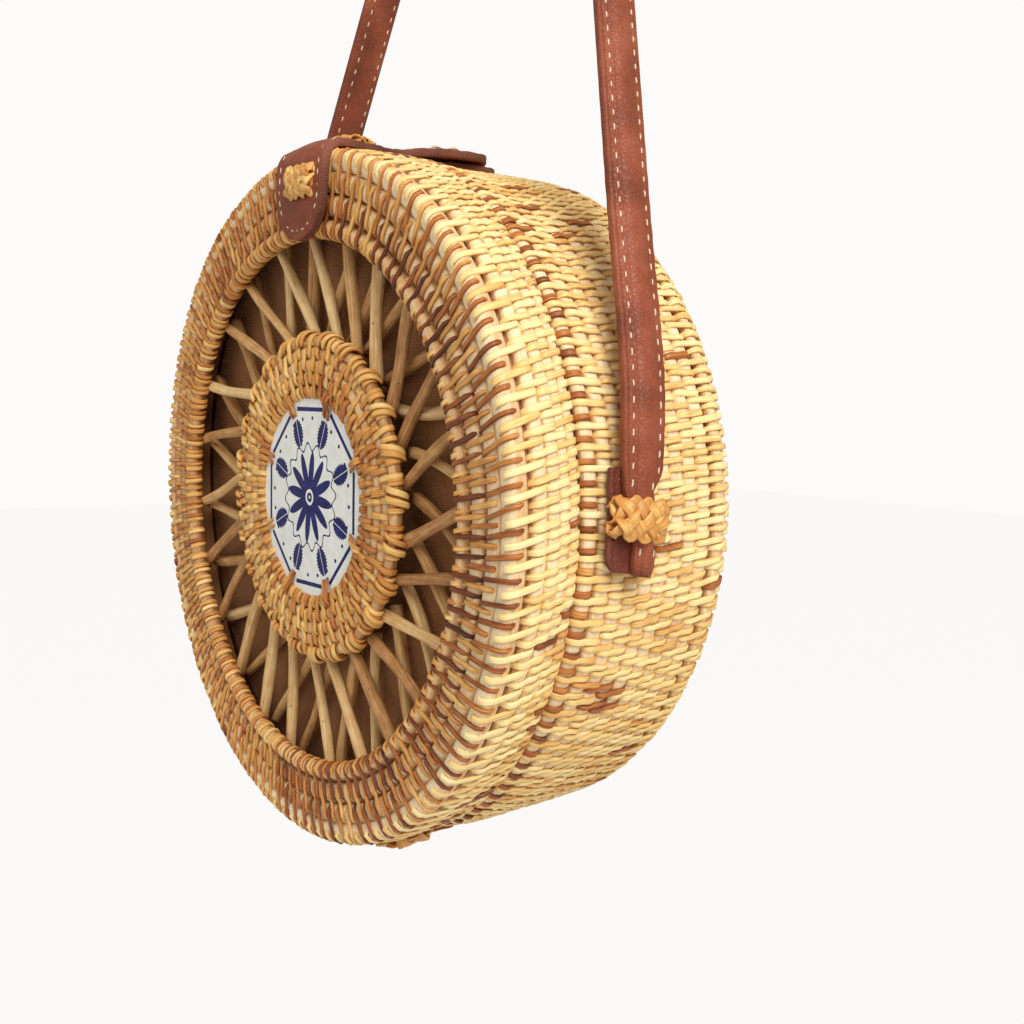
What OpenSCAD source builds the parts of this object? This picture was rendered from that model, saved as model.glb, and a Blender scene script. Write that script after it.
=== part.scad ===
// Round shoulder bag woven from rattan. Two shallow drum halves are laced
// together at the bottom and close at the top with a leather tab and a snap.
// The front half has a lattice of sticks round a woven hub and a glazed disc.
// The origin is the middle of the flat back. Y runs along the drum's axis
// towards the back, and Z runs up towards the closure. All sizes are in mm.

/* [Drum] */
// Outer diameter of the woven drum
drum_d = 200; // [180:1:230]
// Depth of the back half, from the flat back to the seam
back_depth = 55.4; // [52:0.1:75]
// Depth of the front half, from the seam to the front corner
front_depth = 24.1; // [24:0.1:34]
// Gap between the two halves when the bag is shut
seam_gap = 0.3; // [0.2:0.05:0.5]
// Thickness of the woven walls, rods and binding together
wall_t = 5.8; // [5.4:0.1:6.4]
// Radius of the two round hoops that meet at the seam
rim_r = 3; // [2.6:0.1:3.1]
// Radius of the thick hoop on the front corner
corner_r = 3.9; // [3.6:0.1:4.8]
// Outer radius of the rounded back corner
back_round = 10; // [8:0.5:13]
// Spacing of the ribs on the flat back, each one a pair of rods
panel_pitch = 9.6; // [8:0.1:11]
// Depth of the grooves between those ribs
panel_groove = 1.4; // [0.6:0.1:1.6]
// Spacing of the rods in the woven walls
rod_pitch = 4.8; // [4:0.1:6]
// Depth of the groove between two rods
rod_groove = 1.2; // [0.4:0.1:1.4]
// Clearance between pieces that are tied or sewn together
fit_gap = 0.2; // [0.15:0.05:0.3]
// Thickness of the fabric lining
lining_t = 0.8; // [0.5:0.1:1]

/* [Front face] */
// Width of the front face's woven part, from the drum's outside to the opening
ring_w = 24.3; // [22.6:0.1:28]
// How far the ring falls back between the front corner and the opening
ring_drop = 1.5; // [1:0.1:5]
// Radius of the hoop round the opening
opening_hoop_r = 2.5; // [2.2:0.1:2.8]
// Number of places where sticks meet the opening
lattice_count = 24; // [18:1:26]
// Diameter of one lattice stick
stick_d = 3.4; // [2.8:0.1:3.5]
// Outer diameter of the woven hub
hub_d = 96; // [92:1:108]
// Radius of the hub's outer hoop
hub_hoop_r = 2.2; // [2:0.1:2.5]
// Depth of the hub's outer hoop behind the front corner
hub_drop = 2.2; // [1.8:0.1:4]
// Thickness of the woven hub
hub_t = 5; // [4.9:0.1:6]
// Height of the hub's crown over its two edges
hub_crown = 0.8; // [0:0.1:1.2]
// Width of the hub's woven part, from the glazed disc to the hub's outside
hub_w = 18.9; // [16:0.1:23]
// Thickness of the glazed disc
disc_t = 4; // [3:0.1:4.1]
// Width of the disc's edge that the hub covers
disc_lip = 2.4; // [1.5:0.1:3]
// Depth of the disc's face behind the hub's outer edge
disc_drop = 0.8; // [0.5:0.1:1.2]
// Number of strips that clasp the disc
claw_count = 8; // [6:1:10]
// Width of one clasping strip
claw_w = 2.2; // [1.5:0.1:3]
// Thickness of one clasping strip
claw_t = 0.8; // [0.5:0.1:1.2]
// Reach of one clasping strip over the disc
claw_reach = 2.3; // [1.5:0.1:4]
// Radius of the cane that ties the sticks to the hub
tie_r = 0.7; // [0.5:0.1:0.8]

/* [Closure] */
// Width of the leather tab
tab_w = 23; // [20:1:28]
// Thickness of the leather tab
tab_t = 2.6; // [2:0.1:3]
// Length of the tab's front leg below the top of the drum
tab_drop = 28.4; // [26:0.1:32]
// Clearance between leather and the weave under it
leather_gap = 0.3; // [0.2:0.05:0.5]
// Distance of the flap's fold in front of the seam
fold_ahead = 2; // [1.8:0.1:3]
// Length of the flap from its fold to its tip
flap_len = 44.4; // [41:0.1:47]
// Length of the flap that stays level behind its fold
flap_level = 7; // [5:0.5:9]
// Distance from the flap's tip to the middle of the snap
snap_inset = 8.7; // [8.3:0.1:10]
// Width of the lower leather piece
under_w = 20; // [17:1:24]
// Thickness of the lower leather piece
under_t = 2.2; // [1.6:0.1:2.6]
// Length of the lower leather piece
under_len = 24; // [20:1:27]
// Distance that the lower piece's tip shows past the flap's tip
under_ahead = 1.5; // [0:0.1:2]
// Diameter of the magnetic snap
snap_d = 14; // [12:0.5:16]
// Thickness of each half of the snap
snap_t = 1.2; // [0.8:0.1:1.6]
// Clearance between the two halves of the snap
snap_gap = 0.3; // [0.2:0.05:0.5]
// Diameter of the snap's rivet
rivet_d = 3; // [2:0.1:4]
// Width of a tab knot
tab_knot_w = 13.5; // [11:0.5:16]
// Height of a tab knot
tab_knot_h = 10; // [8:0.5:10.5]
// Thickness of a tab knot
tab_knot_t = 3.6; // [3:0.1:4.5]

/* [Shoulder strap] */
// Width of the strap
strap_w = 14.8; // [13:0.1:15.2]
// Thickness of the strap over its raised middle
strap_t = 3.2; // [2.6:0.1:3.8]
// Height of the raised middle over the stitched edges
strap_crown = 1; // [0.5:0.1:1.4]
// Width of each stitched edge
strap_edge = 2.6; // [2:0.1:3.4]
// Length of the strap end below its knot's middle
strap_end = 14.8; // [13:0.1:26]
// Height over the knot at which the strap starts to bend inwards
strap_rise = 2; // [1:0.5:6]
// Radius of that bend
strap_bend_r = 120; // [90:1:150]
// Angle at which each leg leans inwards
strap_in = 17.1; // [15:0.1:20]
// Radius of the turn at the top of the strap
strap_top_r = 22; // [16:1:28]
// Angle at which the strap leans towards the back
strap_back = 8.4; // [0:0.1:10]
// Distance of the knots behind the back half's rim
strap_from_rim = 10.9; // [10.8:0.1:20]
// Height of the knots over the drum's middle
strap_z = 1.5; // [0:0.1:4]
// Thickness of the folded layer under the strap
fold_t = 1.8; // [1.2:0.1:2.2]
// Shift of the strap from its knot, along the strap's own width
strap_shift = 0.6; // [0:0.1:1]
// Length of the folded layer above its knot's middle
fold_up = 13; // [10:0.5:16]
// Shift of the folded layer towards the front
fold_shift = 1; // [0:0.1:1.2]
// Width of a strap knot
strap_knot_w = 20.4; // [20:0.1:22]
// Height of a strap knot
strap_knot_h = 11; // [9:0.5:13]
// Thickness of a strap knot over the strap
strap_knot_t = 2.8; // [2.4:0.1:3.6]
// Thickness of the knot's two legs
knot_leg = 1.4; // [1:0.1:1.5]
// Diameter of the lashing that carries the strap
lashing_d = 3.2; // [2.6:0.1:4]
// Running clearance round the lashing
lashing_clear = 0.08; // [0.04:0.01:0.1]
// Diameter of the lashing's inner knot
lashing_head_d = 10; // [8:0.5:12]
// Thickness of the lashing's inner knot
lashing_head_t = 2; // [1.5:0.1:3]

/* [Bottom hinge] */
// Distance of each hinge knot from the middle
hinge_x = 28; // [26:0.5:32]
// Depth of the hinge axis inside the drum's outer radius
hinge_rise = 1.5; // [1.2:0.1:1.6]
// Width of a hinge knot
hinge_w = 12; // [11:0.5:13]
// Length of a hinge knot along the wall
hinge_len = 9.5; // [8:0.5:11]
// Height of a hinge knot over the wall
hinge_t = 3.2; // [2.8:0.1:4]
// Radius of the twisted cane on the hinge axis
hinge_core_r = 1.2; // [1:0.1:1.3]
// Running clearance round that cane
hinge_clear = 0.1; // [0.05:0.01:0.1]
// Thickness of the lacing round that cane
lace_t = 0.6; // [0.5:0.05:0.7]
// Length of the lacing's tail along the back half
lace_len = 12; // [9:0.5:15]

/* [Hidden] */
$fn = 96;
fine_fn = 24;
cut_over = lining_t;
drum_r = drum_d / 2;
seam_s = back_depth + seam_gap;
front_s = seam_s + front_depth;
wall_in = drum_r - wall_t;
rim_in = drum_r - 2 * rim_r;
lining_r = min(wall_in, rim_in) - fit_gap;
strand_count = 3;
strand_turn = 38;
strand_share = 0.45;
rod_steps = 6;
panel_centre_share = 0.3;
groove_share = 0.3;
arc_steps = 12;

// The front face, from the corner inwards
tie_from = -15;
tie_sweep = 110;
disc_edge_share = 0.15;
stick_outer_share = 0.84;
stick_inner_share = 0.38;
ring_r = drum_r - corner_r;
opening_r = drum_r - ring_w;
opening_hoop_at = opening_r + opening_hoop_r;
opening_hoop_s = ring_face(opening_hoop_at) - opening_hoop_r;
ring_outer = drum_r - 2 * corner_r - fit_gap;
ring_inner = opening_r + 2 * opening_hoop_r + fit_gap;
stick_r = stick_d / 2;
stick_outer = opening_hoop_at + stick_outer_share * opening_hoop_r;
stick_front_s = opening_hoop_s - opening_hoop_r - fit_gap - stick_r;
hub_r = hub_d / 2;
hub_hoop_at = hub_r - hub_hoop_r;
hub_hoop_s = front_s - hub_drop - hub_hoop_r;
hub_outer = hub_r - 2 * hub_hoop_r - fit_gap;
hub_face_s = front_s - hub_drop;
stick_inner = hub_outer + stick_inner_share * stick_d;
stick_hub_s = hub_hoop_s - hub_hoop_r - fit_gap - stick_r;
layer_step = stick_d + fit_gap;
disc_r = hub_r - hub_w;
disc_s = hub_face_s - disc_drop;
front_lining_s = min(stick_front_s, stick_hub_s) - layer_step - stick_r - fit_gap - lining_t;
lattice_turn = 360 / lattice_count;
lattice_start = -4.7;

// The closure, from the front leg to the flap's tip
leather_z = drum_r + leather_gap;
tab_low = drum_r - tab_drop;
fold_s = seam_s + fold_ahead;
flap_tip = fold_s - flap_len;
fold_z = leather_z + tab_t / 2;
flap_rise = under_t + 2 * snap_t + snap_gap;
snap_s = flap_tip + snap_inset;
under_tip = flap_tip - under_ahead;
rivet_r = rivet_d / 2;
under_round_share = 0.45;
snap_seat_share = 0.66;
rivet_head_share = 0.6;
knot_down_share = 0.72;

// The strap, from the wall outwards
strap_s = back_depth - strap_from_rim;
strap_x0 = drum_r + leather_gap + fold_t + fit_gap + strap_t / 2;
lashing_r = lashing_d / 2;
lashing_end = strap_x0 + strap_t / 2;
knot_x = lashing_end + fit_gap;
bend_end = [strap_x0 - strap_bend_r * (1 - cos(strap_in)),
            strap_rise + strap_bend_r * sin(strap_in)];
strap_top_z = (bend_end[0] * cos(strap_in) + bend_end[1] * sin(strap_in) - strap_top_r)
              / sin(strap_in);

// The hinge axis, which both halves share
hinge_s = back_depth + seam_gap / 2;
hinge_z = -drum_r + hinge_rise;
hinge_turn = asin(hinge_x / drum_r);
eye_share = 0.3;
web_share = 0.22;
knot_base_share = 0.6;
knot_turns = 3;
lace_r = hinge_core_r + hinge_clear + lace_t;

// Face of the ring at radius r, falling back towards the opening
function ring_face(r) = front_s - ring_drop * (ring_r - r) / (ring_r - opening_r);

// Face of the hub at radius r, a line with a crown over it
function hub_face(r) =
    hub_face_s + hub_crown * sin(180 * (r - disc_r) / (hub_outer - disc_r))
    + hub_crown * (hub_outer - r) / (hub_outer - disc_r);

// Depth of the groove at fraction u of a row of n rods
function groove(u, n) = rod_groove * (1 - abs(sin(180 * u * n)));

function rods(length) = max(1, round(length / rod_pitch));

// Points along an arc about a centre, from one angle to another
function arc(centre, radius, from, to) = [for (i = [0 : arc_steps])
    let(a = from + (to - from) * i / arc_steps) centre + radius * [cos(a), sin(a)]];

// Turns the drum's own frame, axis up, into the bag's frame
module on_drum() {
    rotate([90, 0, 0]) children();
}

// Puts a shape at an angle from the top of the drum, on its front side
module at_clock(angle) {
    rotate([0, angle, 0]) children();
}

// A shape drawn with distance from the back and height, as wide as width
module side_view(width) {
    rotate([90, 0, -90]) linear_extrude(width, center = true) children();
}

// A round hoop about the drum's axis
module hoop(radius, s, thick_r) {
    on_drum() rotate_extrude() translate([radius, s]) circle(thick_r);
}

// A woven side wall whose rods show as rings
module side_wall(s0, s1) {
    n = rods(s1 - s0);
    outline = concat(
        [for (i = [0 : n * rod_steps])
            [drum_r - groove(i / (n * rod_steps), n), s0 + (s1 - s0) * i / (n * rod_steps)]],
        [[wall_in, s1], [wall_in, s0]]);
    on_drum() rotate_extrude() polygon(outline);
}

// A flat ring or disc about the drum's axis
module flat_ring(r0, r1, s0, s1) {
    on_drum() rotate_extrude() polygon([[r0, s0], [r1, s0], [r1, s1], [r0, s1]]);
}

// A plate with four round corners, standing on z = 0
module rounded_plate(w, h, corner, thick) {
    linear_extrude(thick) {
        square([w - 2 * corner, h], center = true);
        square([w, h - 2 * corner], center = true);
        for (x = [-1, 1], y = [-1, 1])
            translate([x * (w / 2 - corner), y * (h / 2 - corner)]) circle(corner);
    }
}

// A knot of flat cane: a plate with strands crossing over it
module braid(w, h, thick) {
    base_t = (1 - strand_share) * thick;
    strand_r = strand_share * thick;
    intersection() {
        rounded_plate(w, h, h / 4, thick);
        union() {
            rounded_plate(w, h, h / 4, base_t);
            for (side = [-1, 1], i = [0 : strand_count - 1])
                translate([(i + 0.5 - strand_count / 2) * w / strand_count, side * h / 5, base_t])
                    rotate([90, 0, side * strand_turn])
                        cylinder(r = strand_r, h = h, center = true, $fn = fine_fn);
        }
    }
}

// A round rod between two points
module rod(a, b, radius) {
    d = b - a;
    translate(a) rotate([0, acos(d[2] / norm(d)), atan2(d[1], d[0])])
        cylinder(r = radius, h = norm(d), $fn = fine_fn);
}

// A point of the front face at radius r, an angle from the top and distance s
function face_point(r, angle, s) = [r * sin(angle), -s, r * cos(angle)];

// One layer of the lattice: every stick leans one step round the hub
module lattice_layer(lean, depth) {
    for (i = [0 : lattice_count - 1]) {
        a = lattice_start + i * lattice_turn;
        rod(face_point(stick_outer, a, stick_front_s - depth),
            face_point(stick_inner, a + lean * lattice_turn, stick_hub_s - depth),
            stick_r);
    }
}

module back_side_wall() {
    color("#d9b77c") difference() {
        side_wall(back_round + fit_gap, back_depth - 2 * rim_r - fit_gap);
        lashing_bores();
        rivet_bore();
    }
}

// Running bores for the lashings that carry the strap
module lashing_bores() {
    translate([0, -strap_s, strap_z]) rotate([0, 90, 0])
        cylinder(r = lashing_r + lashing_clear, h = drum_d + 2 * cut_over, center = true);
}

// Bore for the snap's rivet through lining, wall and leather
module rivet_bore() {
    translate([0, -snap_s, 0]) cylinder(r = rivet_r + fit_gap, h = leather_z + under_t + cut_over);
}

// The flat back: a wound centre and round ribs, each rib a pair of rods
module back_panel() {
    outer = drum_r - back_round - fit_gap;
    centre = panel_centre_share * outer;
    n = round((outer - centre) / panel_pitch);
    pitch = (outer - centre) / n;
    outline = concat(
        [[0, 0]],
        [for (i = [0 : n - 1])
            let(r = centre + i * pitch, side = groove_share * pitch)
            each [[r - side, 0], [r, panel_groove], [r + side, 0]]],
        [[outer, 0], [outer, wall_t], [0, wall_t]]);
    color("#cfa768") on_drum() rotate_extrude() polygon(outline);
}

// The rounded corner between the side wall and the flat back
module back_corner() {
    inner_r = back_round - wall_t;
    n = 3;
    steps = n * rod_steps;
    outline = concat(
        [for (i = [0 : steps])
            let(a = -90 + 90 * i / steps,
                r = back_round - groove(i / steps, n) * sin(180 * i / steps))
            [drum_r - back_round + r * cos(a), back_round + r * sin(a)]],
        [for (i = [steps : -1 : 0])
            let(a = -90 + 90 * i / steps)
            [drum_r - back_round + inner_r * cos(a), back_round + inner_r * sin(a)]]);
    color("#c99a58") on_drum() rotate_extrude() polygon(outline);
}

module back_rim_hoop() {
    color("#b5713a") hoop(drum_r - rim_r, back_depth - rim_r, rim_r);
}

module back_lining_disc() {
    color("#7a5638")
        flat_ring(0, drum_r - back_round, wall_t + fit_gap, wall_t + fit_gap + lining_t);
}

module back_lining_band() {
    color("#7a5638") difference() {
        flat_ring(lining_r - lining_t, lining_r, back_round, back_depth - fit_gap);
        translate([0, -strap_s, strap_z]) rotate([0, 90, 0])
            cylinder(r = lashing_r + fit_gap, h = drum_d, center = true);
        rivet_bore();
    }
}

// The lower leather piece that carries the snap
module back_tab() {
    color("#7b3a28") difference() {
        translate([0, -(under_tip + under_len / 2), leather_z])
            rounded_plate(under_w, under_len, under_round_share * under_w, under_t);
        rivet_bore();
    }
}

// The snap's lower half, riveted through the leather, the wall and the lining
module snap_lower() {
    disc_z = leather_z + under_t;
    cap_z = lining_r - lining_t - fit_gap;
    color("#5d5f63") translate([0, -snap_s, 0]) {
        translate([0, 0, disc_z]) cylinder(d = snap_d, h = snap_t);
        translate([0, 0, cap_z - snap_t]) cylinder(r = rivet_r, h = disc_z - cap_z + snap_t);
        translate([0, 0, cap_z - snap_t]) cylinder(d = rivet_head_share * snap_d, h = snap_t);
    }
}

// Lacing on the back half: an eye round the hinge cane and a tail on the wall
module hinge_lacing(side) {
    eye_w = eye_share * hinge_w;
    tail_turn = asin(eye_w / 2 / drum_r);
    color("#d8a94e") union() {
        difference() {
            hinge_cane(side, lace_r, eye_w);
            hinge_cane(side, hinge_core_r + hinge_clear, eye_w + 2 * cut_over);
            // The eye is open towards the walls
            on_drum() cylinder(r = drum_r + fit_gap, h = front_s);
        }
        difference() {
            on_drum() rotate([0, 0, -90 + side * hinge_turn - tail_turn])
                rotate_extrude(angle = 2 * tail_turn)
                    translate([drum_r + fit_gap, hinge_s - lace_len])
                        square([lace_t, lace_len]);
            hinge_cane(side, hinge_core_r + hinge_clear, hinge_w);
            // The tail ends where the front half begins
            translate([0, -hinge_s, 0]) rotate([90, 0, 0])
                cylinder(r = drum_r + hinge_w, h = front_s);
        }
    }
}

// A cylinder on the hinge axis at one of the two knots
module hinge_cane(side, radius, length) {
    translate([side * hinge_x, -hinge_s, hinge_z]) rotate([0, 90, 0])
        cylinder(r = radius, h = length, center = true);
}

// A knot on the front half, with the cane on the hinge axis between two webs
module hinge_knot(side) {
    knot_turn = asin(hinge_w / 2 / drum_r);
    web_turn = web_share * knot_turn;
    knot_s = hinge_s + lace_r + 2 * fit_gap;
    knot_base = knot_base_share * hinge_t;
    color("#d8a94e") union() {
        on_drum() rotate([0, 0, -90 + side * hinge_turn]) {
            rotate([0, 0, -knot_turn]) rotate_extrude(angle = 2 * knot_turn)
                translate([drum_r + fit_gap, knot_s]) {
                    square([knot_base, hinge_len]);
                    for (i = [0 : knot_turns - 1])
                        translate([knot_base, (i + 0.5) * hinge_len / knot_turns])
                            circle(hinge_t - knot_base, $fn = fine_fn);
                }
            for (a = [-knot_turn, knot_turn - web_turn])
                rotate([0, 0, a]) rotate_extrude(angle = web_turn)
                    translate([drum_r + 2 * fit_gap, hinge_s])
                        square([knot_base, knot_s - hinge_s + fit_gap]);
        }
        hinge_cane(side, hinge_core_r, hinge_w);
    }
}

module front_side_wall() {
    color("#e0c088") side_wall(seam_s + 2 * rim_r + fit_gap, front_s - 2 * corner_r - fit_gap);
}

module front_rim_border() {
    color("#dcae4f") hoop(drum_r - rim_r, seam_s + rim_r, rim_r);
}

module front_corner_hoop() {
    color("#e8cf9c") hoop(ring_r, front_s - corner_r, corner_r);
}

// The woven ring of the front face, with its rods
module front_ring() {
    n = rods(ring_outer - ring_inner);
    steps = n * rod_steps;
    span = ring_outer - ring_inner;
    outline = concat(
        [for (i = [0 : steps])
            let(r = ring_inner + span * i / steps)
            [r, ring_face(r) - groove(i / steps, n)]],
        [[ring_outer, ring_face(ring_outer) - wall_t],
         [ring_inner, ring_face(ring_inner) - wall_t]]);
    color("#c48a45") on_drum() rotate_extrude() polygon(outline);
}

module opening_hoop() {
    color("#a8642f") hoop(opening_hoop_at, opening_hoop_s, opening_hoop_r);
}

module lattice_front_layer() {
    color("#c39a62") lattice_layer(1, 0);
}

module lattice_back_layer() {
    color("#a9824f") lattice_layer(-1, layer_step);
}

// The woven hub, with a step behind its inner edge that holds the disc
module hub_ring() {
    n = rods(hub_outer - disc_r);
    steps = n * rod_steps;
    span = hub_outer - disc_r;
    back_s = hub_face_s - hub_t;
    outline = concat(
        [for (i = [0 : steps])
            let(r = disc_r + span * i / steps)
            [r, hub_face(r) - groove(i / steps, n) * sin(180 * i / steps)]],
        [[hub_outer, back_s], [disc_r + disc_lip + fit_gap, back_s],
         [disc_r + disc_lip + fit_gap, disc_s + fit_gap], [disc_r, disc_s + fit_gap]]);
    color("#c68a47") on_drum() rotate_extrude() polygon(outline);
}

module hub_hoop() {
    color("#c08442") hoop(hub_hoop_at, hub_hoop_s, hub_hoop_r);
}

// Turns of cane over the hub's hoop, one for each meeting of sticks
module hub_ties() {
    wrap_r = hub_hoop_r + fit_gap + tie_r;
    color("#dcb45c") for (i = [0 : lattice_count - 1])
        at_clock(lattice_start + i * lattice_turn)
            translate([0, -hub_hoop_s, hub_hoop_at])
                rotate([0, -90, 0]) rotate([0, 0, -tie_from - tie_sweep])
                    rotate_extrude(angle = tie_sweep)
                        translate([wrap_r, 0]) circle(tie_r, $fn = fine_fn);
}

module medallion() {
    edge = disc_edge_share * disc_t;
    r = disc_r + disc_lip;
    outline = [[0, disc_s - disc_t], [r - edge, disc_s - disc_t], [r, disc_s - disc_t + edge],
               [r, disc_s - edge], [r - edge, disc_s], [0, disc_s]];
    color("#eef1f4") on_drum() rotate_extrude() polygon(outline);
}

// Strips that come over the hub's inner edge and hold the disc
module medallion_claws() {
    low = disc_s + fit_gap;
    high = hub_face(disc_r) + fit_gap;
    outline = [[disc_r - claw_reach, low], [disc_r - fit_gap, low], [disc_r - fit_gap, high],
               [disc_r + disc_lip, hub_face(disc_r + disc_lip) + fit_gap],
               [disc_r + disc_lip, hub_face(disc_r + disc_lip) + fit_gap + claw_t],
               [disc_r - fit_gap - claw_t, high + claw_t], [disc_r - claw_reach, low + claw_t]];
    color("#8a4a25") for (i = [0 : claw_count - 1])
        at_clock((i + 0.5) * 360 / claw_count)
            rotate([0, -90, 0]) rotate([90, 0, 0]) linear_extrude_flat(outline, claw_w);
}

// An outline of radius and distance, extruded across its own plane
module linear_extrude_flat(outline, width) {
    rotate([90, 0, 0]) linear_extrude(width, center = true) polygon(outline);
}

module front_lining_disc() {
    color("#7a5638") flat_ring(0, lining_r, front_lining_s, front_lining_s + lining_t);
}

module front_lining_band() {
    color("#7a5638")
        flat_ring(lining_r - lining_t, lining_r, seam_s + fit_gap, front_lining_s - fit_gap);
}

// The fixed part of the leather tab: down the ring, round the corner, over the top
module closure_tab() {
    inner = corner_r + leather_gap;
    corner = [front_s - corner_r, ring_r];
    low_s = ring_face(tab_low) + leather_gap;
    end_s = fold_s + tab_t / 2 + leather_gap;
    outline = concat([[low_s, tab_low]], arc(corner, inner, 0, 90),
                     [[end_s, leather_z], [end_s, leather_z + tab_t]],
                     arc(corner, inner + tab_t, 90, 0), [[low_s + tab_t, tab_low]]);
    color("#7b3a28") intersection() {
        side_view(tab_w) polygon(outline);
        on_drum() linear_extrude(front_s + 2 * tab_t) {
            translate([0, tab_low + tab_w / 2]) circle(d = tab_w);
            translate([-tab_w / 2, tab_low + tab_w / 2]) square([tab_w, drum_r]);
        }
    }
}

module tab_knot_front() {
    knot_z = ring_r - knot_down_share * tab_knot_h;
    slope = atan(ring_drop / (ring_r - opening_r));
    s = ring_face(knot_z) + leather_gap + tab_t + fit_gap;
    color("#d8a94e") translate([0, -s, knot_z]) rotate([90 + slope, 0, 0])
        braid(tab_knot_w, tab_knot_h, tab_knot_t);
}

module tab_knot_top() {
    s = fold_s + tab_t + tab_knot_h / 2 + leather_gap;
    color("#d8a94e") translate([0, -s, leather_z + tab_t + fit_gap])
        braid(tab_knot_w, tab_knot_h, tab_knot_t);
}

// The free end of the leather tab, which folds up to open the bag
module closure_flap() {
    level_s = fold_s - flap_level;
    high_s = snap_s + snap_seat_share * snap_d;
    high_z = leather_z + flap_rise;
    outline = concat(arc([fold_s, fold_z], tab_t / 2, 90, -90),
                     [[level_s, leather_z], [high_s, high_z], [flap_tip, high_z],
                      [flap_tip, high_z + tab_t], [high_s, high_z + tab_t],
                      [level_s, leather_z + tab_t]]);
    color("#7b3a28") intersection() {
        side_view(tab_w) polygon(outline);
        linear_extrude(2 * drum_r) {
            translate([0, -flap_tip - tab_w / 2]) circle(d = tab_w);
            translate([-tab_w / 2, -fold_s - tab_t])
                square([tab_w, fold_s + tab_t - flap_tip - tab_w / 2]);
        }
    }
}

module snap_upper() {
    color("#5d5f63") translate([0, -snap_s, leather_z + flap_rise - snap_t])
        cylinder(d = snap_d, h = snap_t);
}

// The strap's middle line on one leg: place along x, height, and its normal
strap_leg = concat(
    [[strap_x0, -strap_end, 1, 0], [strap_x0, 0, 1, 0]],
    [for (i = [0 : 8])
        let(a = strap_in * i / 8)
        [strap_x0 - strap_bend_r * (1 - cos(a)), strap_rise + strap_bend_r * sin(a),
         cos(a), sin(a)]],
    [for (i = [0 : 12])
        let(a = strap_in + (90 - strap_in) * i / 12)
        [strap_top_r * cos(a), strap_top_z + strap_top_r * sin(a), cos(a), sin(a)]]);
strap_line = concat(strap_leg,
    [for (i = [len(strap_leg) - 2 : -1 : 0])
        let(p = strap_leg[i]) [-p[0], p[1], -p[2], p[3]]]);

// The strap's line moved out and in by two offsets, as a closed outline
function strap_outline(out, into) = concat(
    [for (p = strap_line) [p[0] + out * p[2], p[1] + out * p[3]]],
    [for (i = [len(strap_line) - 1 : -1 : 0])
        let(p = strap_line[i]) [p[0] - into * p[2], p[1] - into * p[3]]]);

// Puts a shape in the strap's own frame, which leans back about its knots
module on_strap() {
    translate([0, -strap_s, strap_z]) rotate([-strap_back, 0, 0]) children();
}

module shoulder_strap() {
    color("#7b3a28") on_strap() translate([0, strap_shift, 0]) difference() {
        union() {
            rotate([90, 0, 0]) linear_extrude(strap_w, center = true)
                polygon(strap_outline(strap_t / 2 - strap_crown, strap_t / 2));
            rotate([90, 0, 0]) linear_extrude(strap_w - 2 * strap_edge, center = true)
                polygon(strap_outline(strap_t / 2, strap_t / 2));
        }
        translate([0, -strap_shift, 0]) rotate([0, 90, 0])
            cylinder(r = lashing_r + lashing_clear, h = 2 * knot_x, center = true);
    }
}

// The short folded layer between the strap and the wall, bent like the strap
module strap_fold(side) {
    length = strap_end + fold_up;
    turn = asin((fold_up - strap_rise) / strap_bend_r);
    centre = [strap_x0 - strap_bend_r, strap_rise];
    line_x = centre[0] + strap_bend_r - strap_t / 2 - fit_gap;
    inner = strap_bend_r - strap_t / 2 - fit_gap;
    outline = concat([[line_x - fold_t, -strap_end], [line_x, -strap_end]],
                     arc(centre, inner, 0, turn), arc(centre, inner - fold_t, turn, 0));
    color("#6d3021") on_strap() difference() {
        intersection() {
            rotate([90, 0, 0]) linear_extrude(2 * strap_w, center = true)
                polygon([for (p = outline) [side * p[0], p[1]]]);
            translate([side * drum_r / 2, -fold_shift, (fold_up - strap_end) / 2])
                rotate([90, 0, side * 90])
                    rounded_plate(strap_w, length, strap_w / 4, drum_r);
        }
        rotate([0, 90, 0])
            cylinder(r = lashing_r + lashing_clear, h = 2 * knot_x, center = true);
    }
}

// The knot over the strap, with a leg down each side of it to the wall
module strap_knot(side) {
    leg_in = drum_r + 2 * leather_gap;
    color("#d8a94e") on_strap() {
        translate([side * knot_x, 0, 0]) rotate([90, 0, side * 90])
            braid(strap_knot_w, strap_knot_h, strap_knot_t);
        for (y = [-1, 1])
            translate([side * (leg_in + knot_x) / 2, y * (strap_knot_w - knot_leg) / 2, 0])
                cube([knot_x - leg_in + fit_gap, knot_leg, strap_knot_h / 2], center = true);
    }
}

// The lashing through leather, wall and lining, tied in a knot inside
module strap_lashing(side) {
    head_x = lining_r - lining_t - leather_gap;
    color("#c99543") on_strap() rotate([0, side * 90, 0]) {
        translate([0, 0, head_x - lashing_head_t])
            cylinder(r = lashing_r, h = lashing_end - head_x + lashing_head_t);
        translate([0, 0, head_x - lashing_head_t]) cylinder(d = lashing_head_d, h = lashing_head_t);
    }
}

module strap_fold_left() { strap_fold(-1); }
module strap_fold_right() { strap_fold(1); }
module strap_knot_left() { strap_knot(-1); }
module strap_knot_right() { strap_knot(1); }
module strap_lashing_left() { strap_lashing(-1); }
module strap_lashing_right() { strap_lashing(1); }
module hinge_lacing_left() { hinge_lacing(-1); }
module hinge_lacing_right() { hinge_lacing(1); }
module hinge_knot_left() { hinge_knot(-1); }
module hinge_knot_right() { hinge_knot(1); }

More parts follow.
